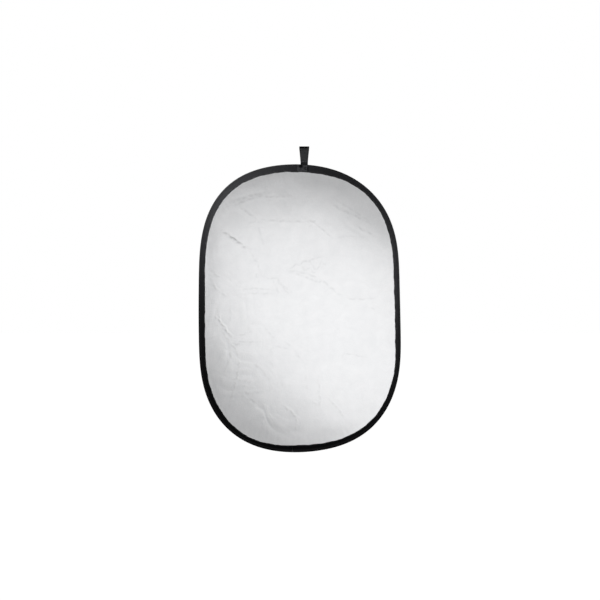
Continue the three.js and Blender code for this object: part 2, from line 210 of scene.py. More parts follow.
# ---------------------------------------------------------------- cloth relief
# Fold creases: height, half width, and a polyline of (x, z) about the panel's centre.
CREASES = [
    (0.85, 4.5, [(-239, 238), (-208, 215), (-165, 184), (-143, 179)]),
    (0.55, 4.0, [(-230, 230), (-190, 203), (-168, 180)]),
    (0.45, 4.0, [(-156, 178), (-128, 135), (-122, 117), (-119, 102)]),
    (0.45, 3.5, [(-134, 93), (-122, 117)]), (0.35, 3.5, [(-137, 102), (-125, 87), (-125, 62)]),
    (0.55, 3.5, [(-119, 102), (-94, 90), (-70, 93), (-58, 74), (-24, 50)]),
    (0.5, 3.5, [(-82, 87), (-67, 56), (-70, 32)]), (0.5, 3.5, [(-70, 84), (-45, 56), (-27, 35)]),
    (0.5, 3.5, [(-186, 56), (-137, 62), (-76, 56)]),
    (0.5, 3.5, [(-180, 44), (-131, 47), (-76, 45)]),
    (0.4, 4.0, [(-183, 307), (-156, 289), (-128, 270)]),
    (0.4, 4.5, [(-128, 270), (-58, 265), (40, 263)]),
    (0.35, 4.0, [(-128, 270), (-156, 258), (-165, 243)]),
    (0.35, 5.0, [(-128, 270), (-122, 227), (-104, 178)]),
    (0.5, 3.5, [(15, 273), (40, 263), (64, 243), (101, 212)]),
    (0.4, 3.5, [(27, 246), (40, 263), (52, 273)]),
    (0.3, 4.5, [(101, 215), (149, 221), (204, 215)]),
    (0.8, 6.0, [(88, 325), (125, 301), (168, 283), (223, 255)]),
    (0.45, 5.0, [(107, 310), (143, 288)]), (0.65, 4.5, [(165, 252), (186, 243), (229, 218)]),
    (0.45, 5.0, [(101, 334), (149, 307), (214, 264)]),
    (0.5, 6.0, [(-211, 307), (-180, 322), (-137, 338), (-82, 355)]),
    (0.45, 5.5, [(-217, 319), (-156, 341), (-101, 353)]), (0.35, 5.0, [(-131, 338), (-21, 341)]),
    (0.6, 4.0, [(-42, 117), (-9, 133), (27, 145), (67, 157)]),
    (0.55, 4.0, [(-42, 117), (3, 111), (40, 99), (67, 87)]),
    (0.55, 4.5, [(-39, 114), (9, 99), (58, 78), (67, 87), (101, 56), (134, 32)]),
    (0.45, 3.5, [(-9, 133), (27, 117), (46, 111), (61, 130), (67, 157)]),
    (0.4, 3.5, [(27, 145), (40, 130), (52, 111)]), (0.35, 3.5, [(64, 142), (82, 133)]),
    (0.45, 4.5, [(134, 32), (174, 29), (217, 29), (232, 32)]),
    (0.5, 3.5, [(204, 4), (229, -2), (214, -8)]), (0.5, 4.5, [(-270, 120), (-245, 93)]),
    (0.5, 4.5, [(-269, 93), (-257, 62), (-230, 41), (-211, 35)]),
    (0.3, 5.0, [(-211, 32), (-209, -47)]),
    (0.75, 4.0, [(-257, -51), (-230, -63), (-211, -84), (-196, -90)]),
    (0.75, 4.0, [(-261, -23), (-239, -42), (-223, -66), (-205, -87)]),
    (0.45, 3.5, [(-251, -17), (-236, -35)]), (0.7, 4.0, [(-196, -90), (-174, -78), (-141, -69)]),
    (0.6, 4.0, [(-199, -99), (-165, -102), (-110, -101)]),
    (0.6, 3.5, [(-211, -109), (-199, -121), (-186, -127)]),
    (0.6, 4.0, [(-245, -54), (-223, -90), (-208, -105)]),
    (0.55, 3.5, [(-208, -105), (-183, -109), (-174, -90)]),
    (0.55, 4.5, [(-214, -115), (-211, -145), (-223, -175), (-232, -197)]),
    (0.7, 4.5, [(-193, -127), (-185, -163), (-190, -206), (-205, -255), (-220, -322)]),
    (0.5, 4.0, [(-110, -53), (-86, -84), (-67, -102)]),
    (0.5, 3.5, [(-83, -102), (-67, -118), (-31, -121)]),
    (0.5, 3.5, [(-58, -99), (-37, -105), (-21, -121)]),
    (0.55, 4.0, [(-21, -121), (-3, -145), (12, -166)]), (0.3, 5.5, [(-86, -111), (-85, -187)]),
    (0.5, 5.0, [(-153, -154), (-122, -182), (-86, -224), (-67, -237)]),
    (0.35, 4.5, [(-190, -163), (-153, -172)]),
    (0.45, 5.5, [(-232, -206), (-183, -218), (-128, -227)]),
    (0.5, 5.5, [(-187, -258), (-141, -258), (-110, -252)]),
    (0.45, 5.0, [(-184, -264), (-153, -279), (-116, -285)]),
    (0.35, 5.0, [(-177, -236), (-128, -245)]),
    (0.5, 3.5, [(125, -154), (131, -141), (153, -138), (189, -147), (202, -150)]),
    (0.4, 5.0, [(55, -200), (61, -267), (64, -316)]),
    (0.5, 5.0, [(85, -270), (116, -304), (140, -340)]),
    (0.45, 5.5, [(-55, -291), (-24, -316), (-3, -340)]), (0.4, 4.5, [(-9, -334), (-12, -371)]),
    (0.35, 4.5, [(37, -279), (55, -297)]), (0.3, 6.0, [(15, -169), (21, -218), (24, -267)]),
]
CREASE_GAIN = 0.42
TROUGH_DEPTH = 0.45  # of the crest beside it
RELIEF_LIMIT = 3.4
GRID_STEP = 1.6
GRID_X = np.arange(-330.0, 330.0 + GRID_STEP, GRID_STEP)
GRID_Z = np.arange(-20.0, 900.0 + GRID_STEP, GRID_STEP)
MESH_X, MESH_Z = np.meshgrid(GRID_X, GRID_Z, indexing="ij")


def waves(x, z, length, count, random):
    """smooth noise of about unit height, alike in every direction"""
    total = np.zeros_like(x)
    for _ in range(count):
        period = length * math.exp(random.normal(0, 0.35))
        angle = random.uniform(0, 2 * math.pi)
        along = x * math.cos(angle) + z * math.sin(angle)
        total += np.cos(along * 2 * math.pi / period + random.uniform(0, 2 * math.pi))
    return total * math.sqrt(2.0 / count)


def crease_gain(x, z):
    """strength of a crease by where its middle lies about the panel's centre"""
    if z > 150 and x > 60:  # high on the right
        return 0.34
    if z < -60 and x < -60:  # low on the left, where most of them cross
        return 0.48
    if z > 215:
        return 1.05
    return 1.80 if x < -60 else 1.42


def crease_path(corners, run, stations, random):
    """the crease's line with its corners rounded and a slight wander"""
    path = points_at(corners, run, stations)
    for _ in range(3):
        path[1:-1] = 0.25 * path[:-2] + 0.5 * path[1:-1] + 0.25 * path[2:]
    wander = sum(
        np.outer(
            np.sin(stations * 2 * math.pi / random.uniform(13, 38) + random.uniform(0, PHASE_MAX)),
            random.normal(0, 0.75, 2),
        )
        for _ in range(4)
    )
    path[1:-1] += wander[1:-1] + random.normal(0, 0.3, path[1:-1].shape)
    return path


def measure_to(path, stations, x, z):
    """distance from each point to the path, length along it, and distance with its side's sign"""
    nearest = np.full(x.shape, 1e9)
    along = np.zeros(x.shape)
    side = np.zeros(x.shape)
    for k, (start, end) in enumerate(zip(path[:-1], path[1:])):
        step = end - start
        length = max(np.linalg.norm(step), 1e-6)
        share = (x - start[0]) * step[0] + (z - start[1]) * step[1]
        share = np.clip(share / length**2, 0, 1)
        off_x = x - (start[0] + share * step[0])
        off_z = z - (start[1] + share * step[1])
        distance = np.hypot(off_x, off_z)
        better = distance < nearest
        nearest = np.where(better, distance, nearest)
        along = np.where(better, stations[k] + share * length, along)
        side = np.where(better, (step[0] * off_z - step[1] * off_x) / length, side)
    return nearest, along, side


def add_crease(relief, wear_and_shade, height, width, line):
    """press one crease into relief and into the mask of painted crease shade with some rub wear,
    in place
    """
    corners = np.array([(CENTRE_X + x, CENTRE_Z + z) for x, z in line], float)
    margin = 6 * width + 10
    low, high = corners.min(0) - margin, corners.max(0) + margin
    i_low, i_high = np.searchsorted(GRID_X, [low[0], high[0]])
    j_low, j_high = np.searchsorted(GRID_Z, [low[1], high[1]])
    window = np.s_[i_low:i_high, j_low:j_high]
    run = run_along(corners)
    total = run[-1]
    stations = np.arange(0, total + 3, 3.0).clip(0, total)
    random = np.random.default_rng(int(total * 10) + len(corners))
    path = crease_path(corners, run, stations, random)
    nearest, along, side = measure_to(path, stations, MESH_X[window], MESH_Z[window])

    # fade at both ends, and break up on the way
    fade = smooth(along, -0.12 * total, 0.3 * total)
    fade = fade * smooth(total - along, -0.12 * total, 0.3 * total)
    broken = sum(
        np.sin(along * 2 * math.pi / random.uniform(12, 42) + random.uniform(0, PHASE_MAX))
        for _ in range(3)
    ) / 1.7
    fade = fade * (0.30 + 0.70 * smooth(broken, -0.75, 0.75))

    # painted crease shade with some rub wear: a darker line along the crease
    worn_and_shaded = min(1.0, height / 0.6) * fade * bell(nearest, 0.42 * width)
    wear_and_shade[window] = np.maximum(wear_and_shade[window], worn_and_shaded)
    # a soft crest with a shallow trough on one side, as pressed cloth has
    crest = 0.54 * width
    trough = bell(side - 2.1 * crest, 1.5 * crest) * bell(nearest, 3.5 * crest)
    middle_x, middle_z = corners.mean(0) - (CENTRE_X, CENTRE_Z)
    gain = CREASE_GAIN * crease_gain(middle_x, middle_z)
    relief[window] -= gain * height * fade * (bell(nearest, crest) - TROUGH_DEPTH * trough)


def puckers(angle, random):
    """ripples round the rim"""
    total = np.zeros_like(angle)
    for _ in range(9):
        period = 19 * math.exp(random.normal(0, 0.35))
        k = round(2 * math.pi * 390 / period)
        total += np.cos(k * angle + random.uniform(0, PHASE_MAX))
    return total


def build_relief():
    """height of the cloth along +Y, and how much painted crease shade with some rub wear darkens
    it (0 to 1), over the grid
    """
    random = np.random.default_rng(11)
    x, z = MESH_X, MESH_Z
    from_x, from_z = x - CENTRE_X, z - CENTRE_Z
    wear_and_shade = np.zeros_like(x)
    # the cloth's gentle belly and sag between the stiff rim
    relief = 0.42 * waves(x, z, 330, 10, random)
    relief += 0.085 * waves(x, z, 120, 14, random)
    # crumple facets: folded noise leaves fine straight-sided ridges, more of them low on the left
    low_left = smooth(-x, -150, 230) * smooth(-from_z, -260, 160)
    upper = smooth(from_z, 80, 340)
    mid_left = smooth(-x, -20, 170) * smooth(from_z, -140, 80)
    weight = 0.30 + 0.72 * low_left + 0.12 * upper + 0.24 * mid_left
    warp_x = x + 14 * waves(x, z, 120, 8, random)
    warp_z = z + 14 * waves(x, z, 120, 8, random)
    for length, height in ((120, 0.16), (62, 0.085), (34, 0.035)):
        noise = waves(warp_x, warp_z, length, 12, random)
        relief -= height * weight * np.sqrt(noise * noise + 0.02)
    for crease in CREASES:
        add_crease(relief, wear_and_shade, *crease)
    # the rim holds the cloth flat
    angle = np.arctan2(from_z, from_x)
    inset = (radius(angle) - np.hypot(from_x, from_z)) * 0.97
    relief = np.clip(relief, -RELIEF_LIMIT, RELIEF_LIMIT) * smooth(inset, 20, 62)
    # puckers where the tape gathers the cloth
    ring = smooth(inset, 17, 24) * (1 - smooth(inset, 30, 62))
    relief += 0.022 * puckers(angle, random) * ring
    # fine crinkle lines darkened with painted shade and some rub wear, closest together low on the
    # left
    broad = np.abs(waves(warp_x, warp_z, 46, 14, random))
    fine = np.abs(waves(warp_x + 300, warp_z, 30, 14, random))
    spread = 0.25 + 0.75 * low_left
    wear_and_shade = np.maximum(wear_and_shade, 0.34 * spread * np.exp(-((broad / 0.055) ** 2)))
    wear_and_shade = np.maximum(wear_and_shade, 0.22 * spread * np.exp(-((fine / 0.06) ** 2)))
    return relief, wear_and_shade * smooth(inset, 22, 40)


RELIEF, WEAR_AND_SHADE = build_relief()
SLOPE_X, SLOPE_Z = np.gradient(RELIEF, GRID_STEP, GRID_STEP)


def grid_sample(values, points):
    """values of the grid at points (x, z), blended between its nodes"""
    place_x = np.clip((points[:, 0] - GRID_X[0]) / GRID_STEP, 0, len(GRID_X) - 1.001)
    place_z = np.clip((points[:, 1] - GRID_Z[0]) / GRID_STEP, 0, len(GRID_Z) - 1.001)
    i, j = place_x.astype(int), place_z.astype(int)
    x, z = place_x - i, place_z - j
    return (
        values[i, j] * (1 - x) * (1 - z) + values[i + 1, j] * x * (1 - z)
        + values[i, j + 1] * (1 - x) * z + values[i + 1, j + 1] * x * z
    )


# ---------------------------------------------------------------- materials
class Net:
    """builds the nodes of one tree; values may be plain or the outputs of other nodes"""

    def __init__(self, tree):
        self.tree = tree

    def feed(self, node, inputs):
        """link or set inputs by name or number; a colour is given as (r, g, b)"""
        for key, value in inputs.items():
            socket = node.inputs[key]
            if isinstance(value, bpy.types.NodeSocket):
                self.tree.links.new(value, socket)
            elif socket.type == "RGBA":
                socket.default_value = (*value, 1)
            else:
                socket.default_value = value

    def node(self, kind, inputs=None, **settings):
        node = self.tree.nodes.new("ShaderNode" + kind)
        for key, value in settings.items():
            setattr(node, key, value)
        self.feed(node, inputs or {})
        return node

    def math(self, operation, first, second=None, clamp=False):
        inputs = {0: first}
        if second is not None:
            inputs[1] = second
        return self.node("Math", inputs, operation=operation, use_clamp=clamp).outputs[0]

    def coords(self, which="Object"):
        return self.node("TexCoord").outputs[which]

    def xyz(self, vector):
        return self.node("SeparateXYZ", {0: vector}).outputs

    def scaled(self, vector, scale):
        return self.node("Mapping", {"Scale": scale, "Vector": vector}).outputs[0]

    def noise(self, vector, scale, detail=3.0, rough=0.55, distortion=0.0):
        inputs = {"Vector": vector, "Scale": scale, "Detail": detail,
                  "Roughness": rough, "Distortion": distortion}
        return self.node("TexNoise", inputs).outputs["Fac"]

    def ramp(self, factor, stops):
        """stops are (position, grey level or colour)"""
        node = self.node("ValToRGB", {0: factor})
        elements = node.color_ramp.elements
        while len(elements) < len(stops):
            elements.new(0.5)
        for element, (position, colour) in zip(elements, stops):
            element.position = position
            element.color = (*colour, 1) if isinstance(colour, tuple) else (*[colour] * 3, 1)
        return node.outputs["Color"]

    def mix(self, base, over, amount):
        inputs = {0: amount, 6: base, 7: over}
        return self.node("Mix", inputs, data_type="RGBA", blend_type="MIX").outputs[2]

    def bump(self, height, strength, distance, normal=None):
        inputs = {"Strength": strength, "Distance": distance, "Height": height}
        if normal is not None:
            inputs["Normal"] = normal
        return self.node("Bump", inputs).outputs[0]

    def wave(self, place, period):
        """0..1 ripple of this period along a coordinate in metres"""
        sine = self.math("SINE", self.math("MULTIPLY", place, 2 * math.pi / period))
        return self.math("ADD", self.math("MULTIPLY", sine, 0.5), 0.5)

    def weave(self, first, second, first_period, second_period):
        """over-under weave height from two coordinates"""
        first_wave = self.wave(first, first_period)
        second_wave = self.wave(second, second_period)
        over = self.wave(self.math("ADD", first, second), second_period * 2)
        under = self.math("SUBTRACT", 1.0, over)
        return self.math("ADD", self.math("MULTIPLY", first_wave, over),
                         self.math("MULTIPLY", second_wave, under))


def new_material(name):
    """a material with only an output and a Principled shader; returns it, its Net and shader"""
    material = bpy.data.materials.new("look_" + name)
    material.use_nodes = True
    material.node_tree.nodes.clear()
    net = Net(material.node_tree)
    net.output = net.node("OutputMaterial")
    shader = net.node("BsdfPrincipled")
    net.feed(net.output, {"Surface": shader.outputs["BSDF"]})
    return material, net, shader


def add_fine_relief(material, net, crinkle, crinkle_height, weave, weave_height):
    """crinkle and weave, heights in metres, as the material's own displacement"""
    height = net.math("ADD", net.math("MULTIPLY", crinkle, crinkle_height),
                      net.math("MULTIPLY", weave, weave_height))
    lift = net.node("Displacement", {"Midlevel": 0.0, "Scale": 1.0, "Height": height})
    net.feed(net.output, {"Displacement": lift.outputs["Displacement"]})
    material.displacement_method = "BUMP"


def silver_material():
    material, net, shader = new_material("silver_fabric")
    place = net.coords()
    x, _, z = net.xyz(place)
    broad = net.noise(place, scale=5.0, detail=4, rough=0.5)
    middle = net.noise(place, scale=34.0, detail=5, rough=0.6, distortion=0.4)
    fine = net.noise(place, scale=420.0, detail=3, rough=0.6)
    colour = net.ramp(broad, [(0.25, (0.80, 0.805, 0.82)), (0.75, (0.865, 0.87, 0.88))])
    mottle = net.ramp(middle, [(0.3, (0.76, 0.765, 0.775)), (0.7, (0.90, 0.90, 0.905))])
    colour = net.mix(colour, mottle, amount=0.35)
    colour = net.mix(colour, net.ramp(fine, [(0.35, 0.66), (0.65, 0.95)]), amount=0.10)
    # painted shade along creases and crinkle lines, with some rub wear, greys the colour
    wear_and_shade = net.node("Attribute", attribute_name="wear_and_shade").outputs["Fac"]
    worn_and_shaded_grey = (0.60, 0.605, 0.615)
    colour = net.mix(colour, worn_and_shaded_grey, amount=net.math("MULTIPLY", wear_and_shade, 0.42))
    net.feed(shader, {
        "Base Color": colour,
        "Metallic": 0.62,
        # even all over: a map here would leave some pieces fully rough once exported
        "Roughness": 0.345,
        "Specular IOR Level": 0.5,
    })
    add_fine_relief(
        material, net,
        crinkle=net.noise(place, scale=130.0, detail=5, rough=0.62, distortion=0.6),
        crinkle_height=0.22 * 0.0007,
        weave=net.weave(x, z, first_period=0.00042, second_period=0.00042),
        weave_height=0.20 * 0.00008,
    )
    return material


def white_material():
    material, net, shader = new_material("white_fabric")
    place = net.coords()
    x, _, z = net.xyz(place)
    broad = net.noise(place, scale=6.0, detail=4, rough=0.5)
    colour = net.ramp(broad, [(0.25, (0.86, 0.86, 0.84)), (0.75, (0.92, 0.92, 0.905))])
    drawn_out = net.scaled(place, scale=(1.0, 1.0, 0.08))
    slub = net.noise(drawn_out, scale=900.0, detail=2, rough=0.5)
    colour = net.mix(colour, net.ramp(slub, [(0.35, 0.72), (0.65, 0.98)]), amount=0.12)
    net.feed(shader, {
        "Base Color": colour,
        "Roughness": 0.69,
        "Sheen Weight": 0.25,
        "Sheen Roughness": 0.45,
    })
    add_fine_relief(
        material, net,
        crinkle=net.noise(place, scale=110.0, detail=5, rough=0.6, distortion=0.5),
        crinkle_height=0.18 * 0.0007,
        weave=net.weave(x, z, first_period=0.0005, second_period=0.0005),
        weave_height=0.30 * 0.0001,
    )
    return material


def tape_material():
    """woven edge tape, near black; UV is (arc length, distance across), in metres"""
    material, net, shader = new_material("binding_tape")
    along, across, _ = net.xyz(net.coords("UV"))
    place = net.coords()
    weave = net.weave(along, across, first_period=0.00075, second_period=0.00095)
    patch = net.noise(place, scale=26.0, detail=4, rough=0.6)
    fuzz = net.noise(place, scale=1500.0, detail=2, rough=0.6)
    colour = net.ramp(patch, [(0.25, (0.0125, 0.0130, 0.0148)), (0.75, (0.0200, 0.0205, 0.0230))])
    threads = net.ramp(weave, [(0.1, (0.006, 0.006, 0.007)), (0.8, (0.034, 0.0345, 0.038))])
    colour = net.mix(colour, threads, amount=0.45)
    fuzz_amount = net.ramp(fuzz, [(0.60, 0.0), (0.78, 0.30)])
    colour = net.mix(colour, (0.085, 0.085, 0.09), amount=fuzz_amount)
    # pale scuffing where the outer fold rubs
    pointed = net.node("NewGeometry").outputs["Pointiness"]
    scuff = net.math("MULTIPLY", net.ramp(pointed, [(0.49, 0.0), (0.56, 1.0)]),
                     net.noise(place, scale=75.0, detail=4, rough=0.65))
    scuff_amount = net.ramp(scuff, [(0.42, 0.0), (0.75, 0.35)])
    colour = net.mix(colour, (0.075, 0.076, 0.08), amount=scuff_amount)
    lumps = net.noise(place, scale=240.0, detail=3, rough=0.6)
    bump = net.bump(lumps, strength=0.25, distance=0.0004)
    net.feed(shader, {
        "Base Color": colour,
        "Roughness": net.ramp(patch, [(0.3, 0.56), (0.7, 0.70)]),
        "Sheen Weight": 0.06,
        "Sheen Roughness": 0.4,
        "Sheen Tint": (0.75, 0.76, 0.80),
        "Specular IOR Level": 0.22,
        "Normal": net.bump(weave, strength=0.55, distance=0.00022, normal=bump),
    })
    return material


def webbing_material(name, lift):
    """ribbed webbing, painted lighter as if more lit by lift above 1; UV is (distance along,
    distance across), in metres
    """
    material, net, shader = new_material(name)
    along, across, _ = net.xyz(net.coords("UV"))
    place = net.coords()
    # herringbone: diagonal floats that turn back at each stripe across the strap
    stripe = net.math("PINGPONG", across, 0.0034)
    lean = net.math("ADD", along, net.math("MULTIPLY", stripe, 1.1))
    floats = net.math("MULTIPLY", net.wave(lean, period=0.0013), 0.7)
    picks = net.math("MULTIPLY", net.wave(along, period=0.00065), 0.3)
    weave = net.math("ADD", floats, picks)
    patch = net.noise(place, scale=60.0, detail=4, rough=0.6)
    fuzz = net.noise(place, scale=1700.0, detail=2, rough=0.6)
    dark, light = 0.020 * lift, 0.052 * lift
    colour = net.ramp(weave, [(0.1, (dark * 0.55, dark * 0.57, dark * 0.62)),
                              (0.85, (light, light * 1.03, light * 1.10))])
    mottle = net.ramp(patch, [(0.3, (dark, dark, dark * 1.08)),
                              (0.7, (light * 0.9, light * 0.92, light))])
    colour = net.mix(colour, mottle, amount=0.35)
    fuzz_amount = net.ramp(fuzz, [(0.60, 0.0), (0.80, 0.35)])
    colour = net.mix(colour, (0.14, 0.14, 0.15), amount=fuzz_amount)
    # painted shade from the shade attribute darkens the colour and takes away specular and sheen
    shade = net.node("Attribute", attribute_name="shade").outputs["Fac"]
    colour = net.mix(colour, (0.0014, 0.0015, 0.0020), amount=shade)
    unshaded = net.math("SUBTRACT", 1.0, shade, clamp=True)
    bump = net.bump(weave, strength=0.8, distance=0.00035)
    net.feed(shader, {
        "Base Color": colour,
        "Specular IOR Level": net.math("ADD", net.math("MULTIPLY", unshaded, 0.36), 0.02),
        "Roughness": net.ramp(patch, [(0.3, 0.55), (0.7, 0.72)]),
        "Sheen Weight": net.math("MULTIPLY", unshaded, 0.35),
        "Sheen Roughness": 0.35,
        "Sheen Tint": (0.7, 0.73, 0.8),
        "Normal": net.bump(fuzz, strength=0.2, distance=0.0001, normal=bump),
    })
    return material


def thread_material():
    material, net, shader = new_material("sewing_thread")
    along, around, _ = net.xyz(net.coords("UV"))
    lean = net.math("ADD", along, net.math("MULTIPLY", around, 0.6))
    twist = net.wave(lean, period=0.00055)
    colour = net.ramp(twist, [(0.15, (0.028, 0.030, 0.034)), (0.85, (0.095, 0.098, 0.108))])
    mottle = net.ramp(net.noise(net.coords(), scale=300.0, detail=3), [(0.3, 0.04), (0.7, 0.11)])
    net.feed(shader, {
        "Base Color": net.mix(colour, mottle, amount=0.3),
        "Roughness": net.ramp(twist, [(0.2, 0.38), (0.8, 0.5)]),
        "Sheen Weight": 0.3,
        "Normal": net.bump(twist, strength=0.8, distance=0.00015),
    })
    return material


def metal_material(name, tint):
    """brushed metal with darker blotches"""
    def dimmed(level):
        return tuple(level * part for part in tint)

    material, net, shader = new_material(name)
    place = net.coords()
    drawn_out = net.scaled(place, scale=(1.0, 30.0, 1.0))
    brushed = net.noise(drawn_out, scale=160.0, detail=4, rough=0.6)
    blotches = net.noise(place, scale=45.0, detail=4, rough=0.6)
    colour = net.ramp(blotches, [(0.3, dimmed(0.80)), (0.7, tint)])
    streaks = net.ramp(brushed, [(0.3, dimmed(0.7)), (0.7, dimmed(1.15))])
    net.feed(shader, {
        "Base Color": net.mix(colour, streaks, amount=0.3),
        "Metallic": 1.0,
        "Roughness": net.ramp(brushed, [(0.3, 0.28), (0.7, 0.42)]),
        "Normal": net.bump(brushed, strength=0.3, distance=0.00005),
    })
    return material


SILVER = silver_material()
WHITE = white_material()
TAPE = tape_material()
WEBBING = webbing_material("loop_webbing", lift=1.0)
THREAD = thread_material()
# the patch is the same webbing, painted lighter as if more lit
PATCH_PAINTED_LIGHTER = webbing_material("loop_webbing_patch_painted_lighter", lift=1.5)
STEEL = metal_material("spring_steel", tint=(0.40, 0.42, 0.46))
SLEEVE = metal_material("sleeve_metal", tint=(0.60, 0.58, 0.54))


# ---------------------------------------------------------------- mesh helpers
def make(name, verts, faces, materials, indices=None, normals=None, uvs=None, values=None):
    """A smooth object from vertices in mm. Material indices are per face, normals and UVs per
    face corner, and values are named numbers per vertex. A zero normal is left to Blender, and
    with no normals at all the faces are turned outwards."""
    mesh = bpy.data.meshes.new(name)
    mesh.from_pydata((np.asarray(verts, float) * MM).tolist(), [],
                     [tuple(int(i) for i in face) for face in faces])
    for material in materials:
        mesh.materials.append(material)
    if indices is not None:
        mesh.polygons.foreach_set("material_index", np.asarray(indices, np.int32))
    mesh.polygons.foreach_set("use_smooth", np.full(len(mesh.polygons), True))
    if uvs is not None:
        layer = mesh.uv_layers.new(name="strip")
        layer.data.foreach_set("uv", np.asarray(uvs, np.float32).ravel())
    mesh.validate(clean_customdata=False)
    if normals is not None:
        mesh.normals_split_custom_set(np.asarray(normals, float).tolist())
    mesh.update()
    piece = bpy.data.objects.new(name, mesh)
    bpy.context.scene.collection.objects.link(piece)
    if normals is None:
        work = bmesh.new()
        work.from_mesh(mesh)
        bmesh.ops.recalc_face_normals(work, faces=work.faces)
        work.to_mesh(mesh)
        work.free()
    for key, numbers in (values or {}).items():
        attribute = mesh.attributes.new(key, "FLOAT", "POINT")
        attribute.data.foreach_set("value", np.array(numbers, np.float32).ravel())
    return piece


BEAD_SIDES, BEAD_ROWS = 6, 5  # a stitch is a short rounded length of thread
BEAD_TURNS = [2 * math.pi * i / BEAD_SIDES for i in range(BEAD_SIDES)]
BEAD_UV = (0.0008, 0.0004)  # UV step along and round the thread


def add_bead_faces(base, faces, uvs):
    """close the stitch whose vertices start at base"""
    for j in range(BEAD_ROWS - 1):
        for i in range(BEAD_SIDES):
            first = base + j * BEAD_SIDES + i
            second = base + j * BEAD_SIDES + (i + 1) % BEAD_SIDES
            faces.append((first, second, second + BEAD_SIDES, first + BEAD_SIDES))
            uvs += [(row * BEAD_UV[0], column * BEAD_UV[1])
                    for row, column in ((j, i), (j, i + 1), (j + 1, i + 1), (j + 1, i))]
    last = base + (BEAD_ROWS - 1) * BEAD_SIDES
    faces.append(tuple(reversed(range(base, base + BEAD_SIDES))))
    faces.append(tuple(range(last, last + BEAD_SIDES)))
    uvs += [(0.0, 0.0)] * (2 * BEAD_SIDES)


# ---------------------------------------------------------------- cloth sectors
# Each hoop length k carries a sector of cloth, a wedge from the rim to a point. These points
# lie this far in from their chords, so that no two sectors cover the same cloth. The other
# sectors run in to the middle line.
SECTOR_HEIGHTS = {
    -12: 245.0, -11: 240.0, -10: 247.0, -9: 247.0, -3: 258.8, -2: 258.8, -1: 258.0, 0: 258.0,
    1: 232.0, 2: 219.3, 3: 219.3, 9: 271.6, 10: 236.4, 11: 236.4, 12: 245.0,
}
SHARED_POINTS = ((2, 3), (10, 11), (-10, -9), (-3, -2))  # near enough to be made one
SECTORS = range(-12, 13)
COARSE = 3  # the inner face of a sheet has one row and column for this many of the outer
CORE_STEP = 3.0
# name, side of the panel along Y, material, its slot, rows and columns of a sector
CLOTHS = (
    ("silver_cloth", -1, SILVER, "silver_fabric", 132, 42),
    ("white_cloth", 1, WHITE, "white_fabric", 90, 24),
)


def chord(k):
    """middle of hoop length k's chord, and its inward normal"""
    start, _ = rim((k - 0.5) * SEGMENT, BAND_INSET)
    end, _ = rim((k + 0.5) * SEGMENT, BAND_INSET)
    along = unit(end - start)
    normal = np.array([-along[1], along[0]])
    middle = (start + end) / 2
    if normal @ (np.array([CENTRE_X, CENTRE_Z]) - middle) < 0:
        normal = -normal
    return middle, normal


def sector_points():
    """point of every sector, on its chord's own centre line"""
    points = {}
    for k in SECTORS:
        middle, normal = chord(k)
        height = SECTOR_HEIGHTS.get(k, (CENTRE_X - middle[0]) / normal[0])
        points[k] = middle + normal * height
    for i, j in SHARED_POINTS:
        points[i] = points[j] = (points[i] + points[j]) / 2
    return points


def wedge_grid(base, point, rows):
    """rows of points from the rim to the point, with half the columns from about half way"""
    halve_at = COARSE * int(rows * 0.52 / COARSE)
    grid = []
    for j in range(rows):
        share = j / rows
        line = base if j < halve_at else base[::2]
        grid.append(line * (1 - share) + point[None, :] * share)
    return grid + [np.array([point])]


def tongue_grid(start, first, second, rows):
    """rows of points from the start at the rim to the edge from first to second"""
    columns = max(3, int(round(np.linalg.norm(second - first) / 9.0)) * 3)
    across = np.linspace(0, 1, columns + 1)[:, None]
    grid = [np.array([start])]
    for j in range(1, rows + 1):
        share = j / rows
        left = start * (1 - share) + first * share
        right = start * (1 - share) + second * share
        grid.append(left[None, :] * (1 - across) + right[None, :] * across)
    return grid


def number_rows(grid, start=0):
    """vertex numbers of each row"""
    ends = np.cumsum([start] + [len(row) for row in grid])
    return [list(range(int(i), int(j))) for i, j in zip(ends[:-1], ends[1:])]


def sheet_faces(rows):
    """faces between rows of vertex numbers; triangles at a point or where the columns halve"""
    faces = []
    for near, far in zip(rows[:-1], rows[1:]):
        if len(near) == 1:
            faces += [(near[0], far[i], far[i + 1]) for i in range(len(far) - 1)]
        elif len(far) == 1:
            faces += [(near[i], far[0], near[i + 1]) for i in range(len(near) - 1)]
        elif len(near) == 2 * len(far) - 1:
            for i in range(len(far) - 1):
                left, middle, right = near[2 * i : 2 * i + 3]
                faces += [(left, far[i], middle), (middle, far[i], far[i + 1]),
                          (middle, far[i + 1], right)]
        else:
            faces += [(near[i], far[i], far[i + 1], near[i + 1]) for i in range(len(near) - 1)]
    return faces


def finish_sheet(side, outer, inner, faces, outer_faces):
    """vertices, outward faces, corner normals and painted crease shade with rub wear of a sheet;
    outer and inner are the (x, z) points of its two faces, and outer_faces of the faces, the
    first, are on the outer"""
    verts = np.vstack([
        np.column_stack([points[:, 0], side * level + grid_sample(RELIEF, points), points[:, 1]])
        for points, level in ((outer, CLOTH_LEVEL + CLOTH_THICK), (inner, CLOTH_LEVEL))
    ])
    first = [verts[i] for i in faces[0][:3]]
    if np.cross(first[1] - first[0], first[2] - first[0])[1] * side < 0:
        faces = [tuple(reversed(face)) for face in faces]
    slopes = [-grid_sample(slope, outer) for slope in (SLOPE_X, SLOPE_Z)]
    normals = units(np.column_stack([slopes[0], np.ones(len(outer)), slopes[1]]) * side)
    corners = []
    for i, face in enumerate(faces):
        corners += [normals[k] for k in face] if i < outer_faces else [(0.0, 0.0, 0.0)] * len(face)
    wear_and_shade = np.concatenate([grid_sample(WEAR_AND_SHADE, outer), np.zeros(len(inner))])
    return verts, faces, corners, wear_and_shade


